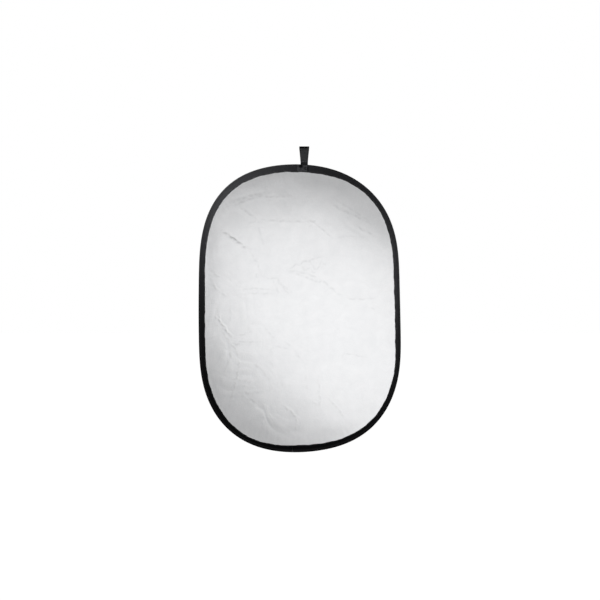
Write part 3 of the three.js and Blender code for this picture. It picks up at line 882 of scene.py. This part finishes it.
def sheet(side, grid):
    """one wedge or tongue of cloth: fine outer face, coarse inner face, thin edge"""
    coarse = [row[::COARSE] for row in grid[::COARSE]]
    outer = np.vstack(grid)
    outer_rows = number_rows(grid)
    inner_rows = number_rows(coarse, len(outer))
    faces = sheet_faces(outer_rows)
    outer_faces = len(faces)
    faces += [tuple(reversed(face)) for face in sheet_faces(inner_rows)]

    def wall(outer_line, inner_line):
        for i in range(len(inner_line) - 1):
            strip = outer_line[COARSE * i : COARSE * (i + 1) + 1]
            faces.append(tuple(reversed(strip)) + (inner_line[i], inner_line[i + 1]))

    wall([row[0] for row in outer_rows], [row[0] for row in inner_rows])
    wall([row[-1] for row in outer_rows][::-1], [row[-1] for row in inner_rows][::-1])
    if len(grid[0]) > 1:  # a wedge, with its wide end at the rim
        wall(outer_rows[0][::-1], inner_rows[0][::-1])
    else:
        wall(outer_rows[-1], inner_rows[-1])
    return finish_sheet(side, outer, np.vstack(coarse), faces, outer_faces)


def cloth_piece(name, material, sheets):
    verts, faces, normals, wear_and_shade = [], [], [], []
    for sheet_verts, sheet_face_list, sheet_normals, sheet_wear_and_shade in sheets:
        base = len(verts)
        verts += list(sheet_verts)
        faces += [tuple(base + i for i in face) for face in sheet_face_list]
        normals += sheet_normals
        wear_and_shade += list(sheet_wear_and_shade)
    return make(name, verts, faces, [material], normals=normals, values={"wear_and_shade": wear_and_shade})


def inside(x, z, ring):
    result = False
    for start, end in zip(ring, np.roll(ring, -1, 0)):
        if (start[1] > z) != (end[1] > z):
            cut = (end[0] - start[0]) * (z - start[1]) / (end[1] - start[1]) + start[0]
            if x < cut:
                result = not result
    return result


def core_sheet(side, outline):
    """a patch of the panel's middle that no sector reaches, bounded by the sectors' points"""
    corners = [outline[0]]
    for point in outline[1:]:
        if np.linalg.norm(point - corners[-1]) > 1.5:
            corners.append(point)
    ring = []
    for start, end in zip(corners, corners[1:] + corners[:1]):
        count = max(1, int(round(np.linalg.norm(end - start) / CORE_STEP)))
        ring += [start + (end - start) * i / count for i in range(count)]
    ring = np.array(ring)
    low, high = ring.min(0), ring.max(0)
    within = [
        (x, z)
        for x in np.arange(low[0], high[0], CORE_STEP)
        for z in np.arange(low[1], high[1], CORE_STEP)
        if inside(x, z, ring) and np.linalg.norm(ring - (x, z), axis=1).min() > 1.6
    ]
    sites = [Vector((float(x), float(z))) for x, z in [*ring, *within]]
    border = [(i, (i + 1) % len(ring)) for i in range(len(ring))]
    result = delaunay_2d_cdt(sites, border, [], 1, 1e-5)
    points = np.array([(point.x, point.y) for point in result[0]])
    outer = [tuple(face) for face in result[2] if len(face) == 3]
    edges = dict.fromkeys((face[i], face[(i + 1) % 3]) for face in outer for i in range(3))
    base = len(points)
    faces = outer + [tuple(base + i for i in reversed(face)) for face in outer]
    faces += [(j, i, base + i, base + j) for i, j in edges if (j, i) not in edges]
    return finish_sheet(side, points, points, faces, len(outer))


def corner(k):
    """the rim end shared by sectors k and k + 1, and the direction that halves the corner there"""
    point, _ = rim((k + 0.5) * SEGMENT, CLOTH_INSET)
    return point, unit(chord(k)[1] + chord(k + 1 if k < 12 else -12)[1])


def halves(start, direction, first, second):
    """the tongue of cloth between two sectors, cut where the direction meets its far edge"""
    turn_first = cross2(direction, first - start)
    turn_second = cross2(direction, second - start)
    if abs(cross2(first - start, second - start)) < 60.0:
        return None, None
    if turn_first * turn_second >= 0:
        whole = (start, first, second)
        return (whole, None) if turn_first > 0 else (None, whole)
    cut = first + (second - first) * turn_first / (turn_first - turn_second)
    return (start, first, cut), (start, cut, second)


def tongue_list(points, foot):
    """the tongues each sector carries, as (start, first, second)"""
    tongues = {k: [] for k in SECTORS}
    for k in SECTORS[:-1]:
        start, direction = corner(k)
        first, second = halves(start, direction, points[k], points[k + 1])
        if first:
            tongues[k].append(first)
        if second:
            tongues[k + 1].append(second)
    # the last tongue, at the cut in the hoop, is in two halves, one for each end
    start, _ = corner(12)
    tongues[12].append((start, points[12], foot))
    tongues[-12].append((start, foot, points[-12]))
    return tongues


def place_cloth(piece, tag, k):
    """the piece stands for the CAD cloth and rides on sector k"""
    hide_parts(tag)
    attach(piece, body(k))
    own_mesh(piece)


def add_cloths():
    points = sector_points()
    low, high = points[12], points[-12]
    share = (CENTRE_X - low[0]) / (high[0] - low[0])
    foot = np.array([CENTRE_X, float(low[1] + (high[1] - low[1]) * (CENTRE_X - low[0])
                                     / (high[0] - low[0]))])
    tongues = tongue_list(points, foot)
    # patches of the middle: name, outline, and the sector each rides on
    middles = (
        ("top", [points[i] for i in range(-4, 5)], 4),
        ("low_left", [points[i] for i in range(8, 13)] + [foot], 12),
        ("low_right", [foot] + [points[i] for i in range(-12, -7)] + [points[8]], -12),
    )
    for tag, side, material, slot, rows, columns in CLOTHS:
        for k in SECTORS:
            arcs = np.linspace((k - 0.5) * SEGMENT, (k + 0.5) * SEGMENT, columns + 1)
            base, _ = rim(arcs, CLOTH_INSET)
            wedge = sheet(side, wedge_grid(base, points[k], rows))
            piece = cloth_piece(f"{tag}_{where_name(k)}", material, [wedge])
            place_cloth(piece, tag, k)
            if tongues[k]:
                sheets = [sheet(side, tongue_grid(*tongue, rows)) for tongue in tongues[k]]
                piece = cloth_piece(f"{tag}_gusset_{where_name(k)}", material, sheets)
                place_cloth(piece, tag, k)
        for what, outline, k in middles:
            piece = cloth_piece(f"{tag}_middle_{what}", material, [core_sheet(side, outline)])
            place_cloth(piece, tag, k)


# ---------------------------------------------------------------- edge binding
TAPE_EXTRA = 0.9  # the soft woven edge stands this much wider than the folded tape itself
TAPE_STEP = 3.4
SEAM_FROM_EDGE = 3.2
STITCH_PITCH = 4.3
STITCH_COUNT = int(round(RIM_LENGTH / STITCH_PITCH))
STITCH_ARCS = (np.arange(STITCH_COUNT) + 0.5) * RIM_LENGTH / STITCH_COUNT - HALF_RIM
SEAM_BEAD = [(-1.0, 0.30), (-0.72, 0.82), (0.0, 1.0), (0.72, 0.82), (1.0, 0.30)]  # along, radius
END_GAP = 0.06  # from each tape end to the cut in the hoop


def rim_wave(arc, seed, length, spread, count):
    """irregular wave of about unit height, continuous round the rim"""
    random = np.random.default_rng(seed)
    total = np.zeros_like(arc)
    for _ in range(count):
        k = max(1, round(RIM_LENGTH / (length * math.exp(random.normal(0, spread)))))
        total += np.cos(2 * np.pi * k * arc / RIM_LENGTH + random.uniform(0, PHASE_MAX))
    return total * math.sqrt(2.0 / count)


def tape_edge(arc):
    """inset of the tape's inner edge"""
    slow = rim_wave(arc, seed=3, length=60, spread=0.5, count=7)
    quick = rim_wave(arc, seed=4, length=14, spread=0.4, count=7)
    return tape_width(arc) + TAPE_EXTRA + 0.35 * slow + 0.12 * quick


def tape_section(arc):
    """closed section of the folded tape at each arc: insets and y, one row per arc"""
    edge = tape_edge(arc)
    swell = bulge(arc)
    gather = (0.10 * rim_wave(arc, seed=5, length=9.5, spread=0.3, count=8)
              + 0.16 * rim_wave(arc, seed=6, length=38, spread=0.4, count=6))
    seam = edge - SEAM_FROM_EDGE
    front = []  # (inset, height) from the outer fold to the inner edge and back inside
    for share in np.linspace(0, 1, 9):  # the round over the steel
        turn = share * math.pi / 2
        front.append((2.6 * (1 - math.cos(turn)), swell * math.sin(turn) ** 0.9))
    for share in (0.33, 0.66, 1.0):
        front.append((2.6 + 2.2 * share, swell * (1 - 0.07 * share)))
    for share in (0.3, 0.6, 0.85, 1.0):  # down to the flat
        ease = share * share * (3 - 2 * share)
        height = swell * 0.93 * (1 - ease) + (FLAT_HALF + 0.25 * gather) * ease
        front.append((4.8 + 3.9 * share, height))
    for share in (0.35, 0.7):  # across the flat
        arch = math.sin(math.pi * share)
        height = FLAT_HALF + 0.5 * gather * arch + 0.12 * arch
        front.append((8.7 + (seam - 1.3 - 8.7) * share, height))
    front += [
        # the dip of the seam
        (seam - 1.3, FLAT_HALF + 0.10 + 0.4 * gather),
        (seam - 0.55, FLAT_HALF - 0.10 + 0.1 * gather),
        (seam, FLAT_HALF - 0.24),
        (seam + 0.55, FLAT_HALF - 0.10 + 0.1 * gather),
        (seam + 1.3, FLAT_HALF + 0.08 + 0.5 * gather),
        # the rounded inner edge
        (edge - 0.75, FLAT_HALF + 0.02 + 0.6 * gather),
        (edge - 0.2, FLAT_HALF - 0.16 + 0.5 * gather),
        (edge, FLAT_HALF - 0.42),
        (edge - 0.25, FLAT_HALF - 0.72),
        # back along the inside
        (edge - 2.0, FLAT_HALF - 0.80),
        (8.3, FLAT_HALF - 0.80),
        (5.2, swell - 0.78),
        (1.5, swell - 0.78),
        (0.8, 0.45 * swell),
    ]
    ring = [(inset, -height) for inset, height in front] + front[:0:-1]
    return [np.array([np.broadcast_to(pair[i], arc.shape) for pair in ring]).T for i in (0, 1)]


def add_seam_stitches(arcs, face, verts, faces, uvs):
    """stitches sunk in the seam; face -1 front, +1 back"""
    random = np.random.default_rng(int(abs(arcs[0]) * 10) + (3 if face > 0 else 0))
    for arc in arcs:
        jitter = random.normal(0, 0.10, 3)
        seam = float(tape_edge(arc)) - SEAM_FROM_EDGE
        half_length = 1.55 + 0.1 * jitter[0]
        base = len(verts)
        for along, size in SEAM_BEAD:
            inset = seam + 0.22 * along + 0.15 * jitter[1]
            point, normal = rim(arc + along * half_length, inset)
            sink = 0.34 * along * along
            y = face * (FLAT_HALF + 0.06 - sink + 0.05 * jitter[2])
            for turn in BEAD_TURNS:
                out = 0.40 * size * math.cos(turn)
                verts.append((point[0] + normal[0] * out, y + 0.34 * size * math.sin(turn),
                              point[1] + normal[1] * out))
        add_bead_faces(base, faces, uvs)


def binding_piece(name, start, end):
    """the folded tape and its seam stitches between two arcs"""
    count = max(4, int(math.ceil((end - start) / TAPE_STEP)))
    arcs = start + (end - start) / count * np.arange(-1, count + 2)
    insets, levels = tape_section(arcs)
    points, _ = rim(arcs[:, None], insets)
    grid = np.stack([points[..., 0], levels, points[..., 1]], -1)
    # normals from the surface's own derivatives, so neighbouring pieces shade as one
    along = grid[2:] - grid[:-2]
    around = (np.roll(grid, -1, 1) - np.roll(grid, 1, 1))[1:-1]
    normals = np.cross(around, along)
    normals /= np.maximum(np.linalg.norm(normals, axis=-1), 1e-9)[..., None]
    grid = grid[1:-1]
    arcs = arcs[1:-1]
    # the first point of a section is its outermost
    if normals[0, 0] @ (grid[0, 0] - grid[0].mean(0)) < 0:
        normals = -normals
    # distance round the section, for the weave
    steps = np.linalg.norm(np.diff(np.concatenate([grid, grid[:, :1]], 1), axis=1), axis=-1)
    girth = np.concatenate([np.zeros((len(grid), 1)), np.cumsum(steps, 1)], 1) * MM

    sides = grid.shape[1]
    corners = [(0, 0), (0, 1), (1, 1), (1, 0)]
    outward = np.cross(grid[0, 1] - grid[0, 0], grid[1, 1] - grid[0, 0])
    flipped = outward @ normals[0, 0] < 0
    if flipped:
        corners.reverse()
    verts = grid.reshape(-1, 3).tolist()
    faces, uvs, loops = [], [], []
    for j in range(count):
        for i in range(sides):
            quad = [(j + row, i + column) for row, column in corners]
            faces.append(tuple(row * sides + column % sides for row, column in quad))
            uvs += [(arcs[row] * MM, girth[row, column]) for row, column in quad]
            loops += [normals[row, column % sides] for row, column in quad]
    for j in (0, count):  # the cut ends
        ring = tuple(j * sides + i for i in range(sides))
        faces.append(ring if (j == 0) == flipped else ring[::-1])
        uvs += [(0.0, 0.0)] * sides
        loops += [(0.0, 0.0, 0.0)] * sides
    tape_faces = len(faces)
    mine = [arc for arc in STITCH_ARCS if start <= arc < end]
    for face in (-1, 1):
        add_seam_stitches(mine, face, verts, faces, uvs)
    for face in faces[tape_faces:]:
        loops += [(0.0, 0.0, 0.0)] * len(face)
    indices = [0] * tape_faces + [1] * (len(faces) - tape_faces)
    piece = make(name, verts, faces, [TAPE, THREAD], indices, loops, uvs)
    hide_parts("edge_binding", "binding_seam_front", "binding_seam_back")
    return piece


def add_binding():
    """tape from the middle of each hoop length to the next"""
    for sign, where in ((1, "left"), (-1, "right")):
        for k in range(1, 13):
            start, end = sorted((sign * (k - 1) * SEGMENT, sign * k * SEGMENT))
            piece = binding_piece(f"edge_binding_{where}_{k:02d}", start, end)
            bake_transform(piece)
        start, end = sorted((sign * 12 * SEGMENT, sign * (12.5 * SEGMENT - END_GAP)))
        piece = binding_piece(f"edge_binding_{where}_end", start, end)
        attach(piece, body(sign * 12))


# ---------------------------------------------------------------- hang loop
# Here "height" is above the strap's fold line, and "across" is along the rim, + to the right.
FOLD_RISE = 2.3  # the fold line stands this far outside the rim
FOLD = OUTLINE[LOOP_INDEX] - INWARD[LOOP_INDEX] * FOLD_RISE
RIM_SLOPE = math.atan2(-TANGENTS[LOOP_INDEX][1], -TANGENTS[LOOP_INDEX][0])
LOOP_TOP = 55.2 - FOLD_RISE
STRAP_WIDTH = 22.4
STRAP_THICK = 1.25
STRAP_STEP = 1.3
STRAP_COLUMNS = 22
SELVEDGE = 0.030  # how far the rounded edges stand out, as a share of the half width
TAIL_Y = FLAT_HALF + 1.15
CREST_Y = float(bulge(0.0)) + 1.0
# centreline of the webbing (y, height): front tail, up to the top and over to the back
FRONT_LINE = [
    (-TAIL_Y, -FOLD_RISE - 19.5), (-TAIL_Y, -FOLD_RISE - 15), (-TAIL_Y - 0.1, -FOLD_RISE - 10),
    (-CREST_Y, -FOLD_RISE - 4.6), (-CREST_Y + 0.1, -FOLD_RISE - 1.6), (-2.6, -0.9), (-1.05, 0.9),
    (-0.98, 3.2), (-1.05, 6.0), (-1.7, 11.0), (-3.3, 18.0), (-4.8, 27.0), (-5.7, 36.0),
    (-5.9, 44.0), (-5.75, LOOP_TOP - 5.2), (-4.7, LOOP_TOP - 1.9), (-2.6, LOOP_TOP - 0.75),
    (0, LOOP_TOP - 0.66),
]
BACK_END = (TAIL_Y, -FOLD_RISE - 22.5)


def catmull(points, count):
    """smooth curve through the points, with count steps between each two"""
    points = np.array(points, float)
    ends = np.vstack([2 * points[0] - points[1], points, 2 * points[-1] - points[-2]])
    share = np.linspace(0, 1, count, endpoint=False)[:, None]
    curve = []
    for before, start, end, after in zip(ends, ends[1:], ends[2:], ends[3:]):
        curve.append(0.5 * (
            2 * start + (-before + end) * share
            + (2 * before - 5 * start + 4 * end - after) * share**2
            + (-before + 3 * start - 3 * end + after) * share**3
        ))
    return np.vstack(curve + [ends[-2][None]])


def strap_width(height):
    """widest at the top of the loop, and slightly spread in the tails"""
    share = np.clip((height - 3) / (LOOP_TOP - 8), 0, 1)
    return STRAP_WIDTH + 8.1 * share**1.15 + 1.2 * smooth(-height, 3, 12)


def loop_place(across, y, height):
    """points of the strap: its base follows the rim and the rest stands upright"""
    lean = np.clip(1 - height / 14, 0, 1)
    below = np.minimum(height, 0)
    above = np.maximum(height, 0)
    sine, cosine = math.sin(RIM_SLOPE), math.cos(RIM_SLOPE)
    x = FOLD[0] + across * cosine - below * sine
    z = FOLD[1] + above + across * sine * lean + below * cosine
    return np.stack([x, np.broadcast_to(y, x.shape), z], -1)


def strap_shade(height, across):
    """painted shade: darker selvedges, the left one wider, a dark band over the top, and a dimmer
    base
    """
    rise = smooth(height, 0, LOOP_TOP)
    left = smooth(-across, 0.90 - 0.13 * rise, 0.98 - 0.07 * rise)
    right = smooth(across, 0.84 - 0.02 * rise, 0.95)
    top = smooth(height, LOOP_TOP - 7.5, LOOP_TOP - 5.0)
    base = 0.45 * (1 - smooth(height, 2, 14))
    return 1 - (1 - 0.97 * left) * (1 - 0.80 * right) * (1 - top) * (1 - base)


def add_strap():
    line = FRONT_LINE + [(-y, height) for y, height in FRONT_LINE[-2:0:-1]] + [BACK_END]
    path = catmull(line, 10)
    path_run = run_along(path)
    run = np.linspace(0, path_run[-1], max(2, int(path_run[-1] / STRAP_STEP)) + 1)
    path = points_at(path, path_run, run)
    along = units(np.gradient(path, axis=0))
    normal = np.column_stack([-along[:, 1], along[:, 0]])

    # section: across the strap from -1 to 1, and through its thickness from -1 to 1
    span = -1 + 2 * np.arange(STRAP_COLUMNS + 1) / STRAP_COLUMNS
    turn = math.pi * np.arange(1, 4) / 4
    flat = np.ones(len(span))
    across = np.concatenate([span, 1 + SELVEDGE * np.sin(turn),
                             -span, -1 - SELVEDGE * np.sin(turn)])
    through = np.concatenate([flat, np.cos(turn), -flat, -np.cos(turn)])
    width = strap_width(path[:, 1])
    offset = across[None, :] * (width / 2)[:, None] / (1 + SELVEDGE)
    depth = (through * (STRAP_THICK / 2 * (1 - 0.18 * np.abs(across) ** 8)))[None, :]
    random = np.random.default_rng(21)
    for _ in range(5):  # a slight unevenness
        depth = depth + 0.10 * np.cos(
            run[:, None] * 2 * math.pi / random.uniform(9, 24)
            + across[None, :] * random.uniform(-3, 3) + random.uniform(0, PHASE_MAX)
        ) / 5
    y = path[:, 0][:, None] + normal[:, 0][:, None] * depth
    height = path[:, 1][:, None] + normal[:, 1][:, None] * depth
    verts = loop_place(offset, y, height).reshape(-1, 3)

    sides, rows = len(across), len(path)
    steps = np.abs(np.diff(across)) * 13 + np.abs(np.diff(through)) * 0.6
    girth = np.cumsum(np.concatenate([[0], steps]))
    girth = np.append(girth, girth[-1] + 0.3)
    faces, uvs = [], []
    for j in range(rows - 1):
        for i in range(sides):
            quad = ((j, i), (j + 1, i), (j + 1, i + 1), (j, i + 1))
            faces.append(tuple(row * sides + column % sides for row, column in quad))
            uvs += [(run[row] * MM, girth[column] * MM) for row, column in quad]
    faces.append(tuple(range(sides)))
    faces.append(tuple(reversed(range((rows - 1) * sides, rows * sides))))
    uvs += [(0, 0)] * (2 * sides)
    shade = strap_shade(path[:, 1][:, None], across[None, :])
    strap = make("hang_loop_webbing", verts, faces, [WEBBING], uvs=uvs, values={"shade": shade})
    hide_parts("hang_loop", "hang_loop_tail_back")
    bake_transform(strap)


PATCH_ROWS, PATCH_COLUMNS = 34, 48
PATCH_LEFT, PATCH_RIGHT = -20.5, 13.5
PATCH_OUTER, PATCH_INNER = 1.3, 23.6  # insets
PATCH_UV = (0.00066, 0.0007)  # UV step per row and column
# dents darkened with painted shade, and painted shadow beside them: depth, then across and inset
# of the middle, then spread across and inwards
DINTS_AND_SHADE = (
    (1.35, -10.0, 6.0, 4.6, 4.2), (1.0, 4.2, 12.6, 3.4, 3.0),
    (0.9, 12.8, 15.0, 1.8, 8.0), (0.6, -5.0, 22.8, 14.0, 1.2),
)


def patch_dint_and_shade(across, inset):
    return min(1.0, sum(
        depth * bell(across - mid_across, wide) * bell(inset - mid_inset, tall)
        for depth, mid_across, mid_inset, wide, tall in DINTS_AND_SHADE
    ))


def patch_point(across, inset, lift):
    """a point on the front of the panel, lifted clear of the tape and the strap's tail"""
    point, _ = rim(-across, inset)
    over_tail = smooth(11.8 - abs(across), 0, 2.0) * smooth(20.5 - inset, 0, 2.2)
    flat = smooth(inset, 4.6, 9.5)
    base = (bulge(across) + 0.32) * (1 - flat) + (FLAT_HALF + 0.35) * flat
    uneven = (0.25 * math.sin(across * 0.35 + 1.0) * math.sin(inset * 0.27)
              + 0.10 * math.sin(across * 0.9 + inset * 0.5))
    return np.array((point[0], -(base + over_tail * 1.35 + lift + uneven * 0.5), point[1]))


def add_patch():
    """the front patch over the strap's tail, rounded at its edges and set a little to the left"""
    rows, columns = PATCH_ROWS, PATCH_COLUMNS
    width, depth = PATCH_RIGHT - PATCH_LEFT, PATCH_INNER - PATCH_OUTER
    verts, shade = [], []
    for layer in (0, 1):  # the outer face, then the one against the tape
        for j in range(rows + 1):
            for i in range(columns + 1):
                part, down = i / columns, j / rows
                across, inset = PATCH_LEFT + width * part, PATCH_OUTER + depth * down
                edge = min(min(part, 1 - part) * width, min(down, 1 - down) * depth)
                rounding = 0.42 * (1 - smooth(edge, 0, 0.9))
                dint_and_shade = patch_dint_and_shade(across, inset)
                lift = 0.05 + rounding * 0.6 if layer else 0.98 - rounding - 0.34 * dint_and_shade
                verts.append(patch_point(across, inset, lift))
                # painted shade: dents and shadows darken the outer face, and the hidden face
                # against the tape is half shaded
                shade.append(0.5 if layer else 0.96 * dint_and_shade)

    def number(layer, j, i):
        return (layer * (rows + 1) + j) * (columns + 1) + i

    faces, uvs = [], []
    for j in range(rows):
        for i in range(columns):
            quad = ((j, i), (j, i + 1), (j + 1, i + 1), (j + 1, i))
            faces.append(tuple(number(0, *place) for place in quad))
            uvs += [(row * PATCH_UV[0], column * PATCH_UV[1]) for row, column in quad]
            faces.append(tuple(number(1, *place) for place in reversed(quad)))
            uvs += [(0, 0)] * 4
    border = [(0, i) for i in range(columns)] + [(j, columns) for j in range(rows)]
    border += [(rows - j, columns - i) for j, i in border]
    for here, after in zip(border, border[1:] + border[:1]):
        faces.append((number(0, *here), number(1, *here), number(1, *after), number(0, *after)))
        uvs += [(0, 0)] * 4
    patch = make("hang_loop_tail_patch", verts, faces, [PATCH_PAINTED_LIGHTER], uvs=uvs, values={"shade": shade})
    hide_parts("hang_loop_tail_front")
    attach(patch, "rim_top")


ROW_PITCH = 3.0
ROW_BEAD = [(0.0, 0.35), (0.14, 0.85), (0.5, 1.0), (0.86, 0.85), (1.0, 0.35)]  # along, radius


def add_stitch_row(name, points, thickness, face, stands_for, rides):
    """stitches of this radius that dip at their ends, along a polyline on the front (face -1)
    or back (face 1) of the panel"""
    points = np.array(points, float)
    run = run_along(points)
    count = max(1, int(round(run[-1] / ROW_PITCH)))
    verts, faces, uvs = [], [], []
    out = np.array([0.0, float(face), 0.0])
    for i in range(count):
        start, end = (i + 0.06) * run[-1] / count, (i + 0.94) * run[-1] / count
        base = len(verts)
        along = unit(points_at(points, run, end) - points_at(points, run, start))
        side = unit(np.cross(along, out))
        for share, size in ROW_BEAD:
            middle = points_at(points, run, start + (end - start) * share)
            middle = middle - out * (1.6 * (share - 0.5) ** 2)
            for turn in BEAD_TURNS:
                verts.append(middle + side * thickness * size * math.cos(turn)
                             + out * thickness * 0.85 * size * math.sin(turn))
        add_bead_faces(base, faces, uvs)
    piece = make(name, verts, faces, [THREAD], uvs=uvs)
    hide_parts(stands_for)
    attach(piece, rides)


def crossed_box(left, right, outer, inner, place):
    """polyline round a box and across its diagonals; place turns (across, in) into a point"""
    corners = [(left, outer), (right, outer), (right, inner), (left, inner), (left, outer),
               (right, inner), (left, inner), (right, outer)]
    points = []
    for (across, down), (next_across, next_down) in zip(corners[:-1], corners[1:]):
        for share in np.linspace(0, 1, 9, endpoint=False):
            points.append(place(across + (next_across - across) * share,
                                down + (next_down - down) * share))
    return points + [place(*corners[-1])]


def add_loop_stitches():
    front = crossed_box(-17.3, 10.6, 11.3, 21.6,
                        lambda across, inset: patch_point(across, inset, 1.12))
    add_stitch_row("hang_loop_box_stitch_front", front, thickness=0.42, face=-1,
                   stands_for="tail_box_stitch_front", rides="rim_top")
    back = crossed_box(-9.6, 9.6, -FOLD_RISE - 12.0, -FOLD_RISE - 21.2,
                       lambda across, height: loop_place(across, TAIL_Y + 0.78, height))
    add_stitch_row("hang_loop_box_stitch_back", back, thickness=0.42, face=1,
                   stands_for="tail_box_stitch_back", rides="rim_top")
    # three rows to and fro across the foot of the loop, in front
    tack = []
    for k in range(3):
        line = np.linspace(-9.5, 9.5, 12)
        for across in line if k % 2 == 0 else line[::-1]:
            tack.append(loop_place(across, -1.05 - 0.62 - 0.20 - 0.05 * k, 6.4 + k * 0.75))
    add_stitch_row("hang_loop_bar_tack", tack, thickness=0.36, face=-1,
                   stands_for="loop_bar_tack", rides="hang_loop")


# ---------------------------------------------------------------- build
add_cloths()
add_binding()
add_strap()
add_patch()
add_loop_stitches()
for name, node in frame["nodes"].items():
    if name.startswith("steel_band") or name == "splice_sleeve":
        for slot in node.material_slots:
            slot.link = "OBJECT"
            slot.material = SLEEVE if name == "splice_sleeve" else STEEL

# ---------------------------------------------------------------- stage, light, camera (metres)
scene = bpy.context.scene
FLOOR_Z = -0.62
AIM = (0, 0, 0.45)
# name, place, point aimed at, width and height, power
CLOTH_LIGHTS = (
    ("fill", (0.15, -3.6, 0.40), AIM, (3.0, 3.0), 18.8),
    ("side_left", (-3.2, -3.0, 0.2), AIM, (3.0, 3.4), 10.0),
    ("side_right", (3.2, -3.0, 0.2), AIM, (3.0, 3.4), 10.0),
    ("low_left", (-2.5, -2.5, -1.15), AIM, (2.4, 2.4), 9.0),
    ("low_right", (2.5, -2.5, -1.15), AIM, (2.4, 2.4), 9.0),
    ("back", (1.5, 2.0, 1.5), AIM, (1.0, 1.0), 50.0),
    ("back_fill", (-1.8, 2.4, 0.3), AIM, (1.6, 1.6), 26.0),
)
# the black tape has small lights of its own at the upper left, the right and behind
TRIM_LIGHTS = (
    ("trim_left", (-0.34, -0.30, 0.84), (-0.20, 0, 0.84), (0.22, 0.22), 1.75),
    ("trim_right", (0.46, -0.30, 0.56), (0.30, 0, 0.56), (0.22, 0.22), 1.1),
    ("trim_back", (0.1, 2.2, 0.9), (0, 0, 0.5), (0.5, 0.5), 30.0),
)
# position on the way from straight down (0) to straight up (1), and brightness
SKY = [(0.30, 0.004), (0.50, 0.012), (0.85, 0.05)]
CAMERA_X, CAMERA_Z, CAMERA_DISTANCE = 0.0009, 0.4649, 4.2
FIELD_WIDTH = 1.8310  # width the view covers at the panel
SENSOR_WIDTH = 36


def add_floor():
    material = bpy.data.materials.new("studio_floor")
    material.use_nodes = True
    net = Net(material.node_tree)
    net.feed(net.tree.nodes["Principled BSDF"], {
        "Base Color": (0.92, 0.92, 0.92),
        "Roughness": 0.9,
        "Specular IOR Level": 0.0,
        "Emission Color": (1, 1, 1),
        "Emission Strength": 1.0,
    })
    bpy.ops.mesh.primitive_plane_add(size=80, location=(0, 0, FLOOR_Z))
    floor = bpy.context.object
    floor.name = "floor"
    floor.data.materials.append(material)
    floor.visible_diffuse = False
    floor.visible_glossy = False
    floor.visible_shadow = False  # two of the lights stand lower than it


def add_world():
    """white to the camera, and dim, brighter overhead, for everything it lights"""
    world = bpy.data.worlds.new("studio")
    scene.world = world
    world.use_nodes = True
    net = Net(world.node_tree)
    background = net.tree.nodes["Background"]
    up = net.xyz(net.coords("Generated"))[2]
    sky = net.ramp(net.math("ADD", net.math("MULTIPLY", up, 0.5), 0.5), SKY)
    net.feed(background, {"Color": sky, "Strength": 1.0})
    white = net.node("Background", {"Color": (1, 1, 1)})
    pick = net.node("MixShader", {
        0: net.node("LightPath").outputs["Is Camera Ray"],
        1: background.outputs[0],
        2: white.outputs[0],
    })
    net.feed(net.tree.nodes["World Output"], {"Surface": pick.outputs[0]})


def area(name, place, target, size, power, lit, shape="RECTANGLE", turn=0.0):
    """a soft light out of the camera's sight that reaches only the objects in lit"""
    light = bpy.data.lights.new(name, "AREA")
    light.shape = shape
    light.size, light.size_y = size
    light.energy = power
    lamp = bpy.data.objects.new(name, light)
    scene.collection.objects.link(lamp)
    lamp.location = place
    lamp.rotation_mode = "QUATERNION"
    aim = (Vector(target) - Vector(place)).to_track_quat("-Z", "Y")
    lamp.rotation_quaternion = aim @ Quaternion((0, 0, 1), turn)
    lamp.visible_camera = False
    lamp.light_linking.receiver_collection = lit


def add_lights():
    cloth_set = bpy.data.collections.new("lit_cloth")
    trim_set = bpy.data.collections.new("lit_trim")
    for thing in list(scene.objects):
        if thing.type == "MESH" and thing.name != "floor":
            is_cloth = thing.name.startswith(("silver_cloth", "white_cloth"))
            (cloth_set if is_cloth else trim_set).objects.link(thing)
    # an oval softbox close in front makes the even glow; the wide fill lifts the rest
    area("key", (0.135, -0.43, 0.365), (0.135, 0, 0.365), size=(0.65, 1.10), power=1.41,
         lit=cloth_set, shape="ELLIPSE", turn=0.876)
    for light in CLOTH_LIGHTS:
        area(*light, lit=cloth_set)
    for light in TRIM_LIGHTS:
        area(*light, lit=trim_set)


def add_camera():
    view = bpy.data.cameras.new("camera")
    camera = bpy.data.objects.new("camera", view)
    scene.collection.objects.link(camera)
    camera.location = (CAMERA_X, -CAMERA_DISTANCE, CAMERA_Z)
    camera.rotation_euler = (math.pi / 2, 0, 0)
    view.sensor_width = SENSOR_WIDTH
    view.lens = SENSOR_WIDTH * CAMERA_DISTANCE / FIELD_WIDTH
    view.clip_end = 200
    scene.camera = camera
    scene.view_settings.view_transform = "Standard"
    scene.view_settings.look = "None"


add_floor()
add_world()
add_lights()
add_camera()
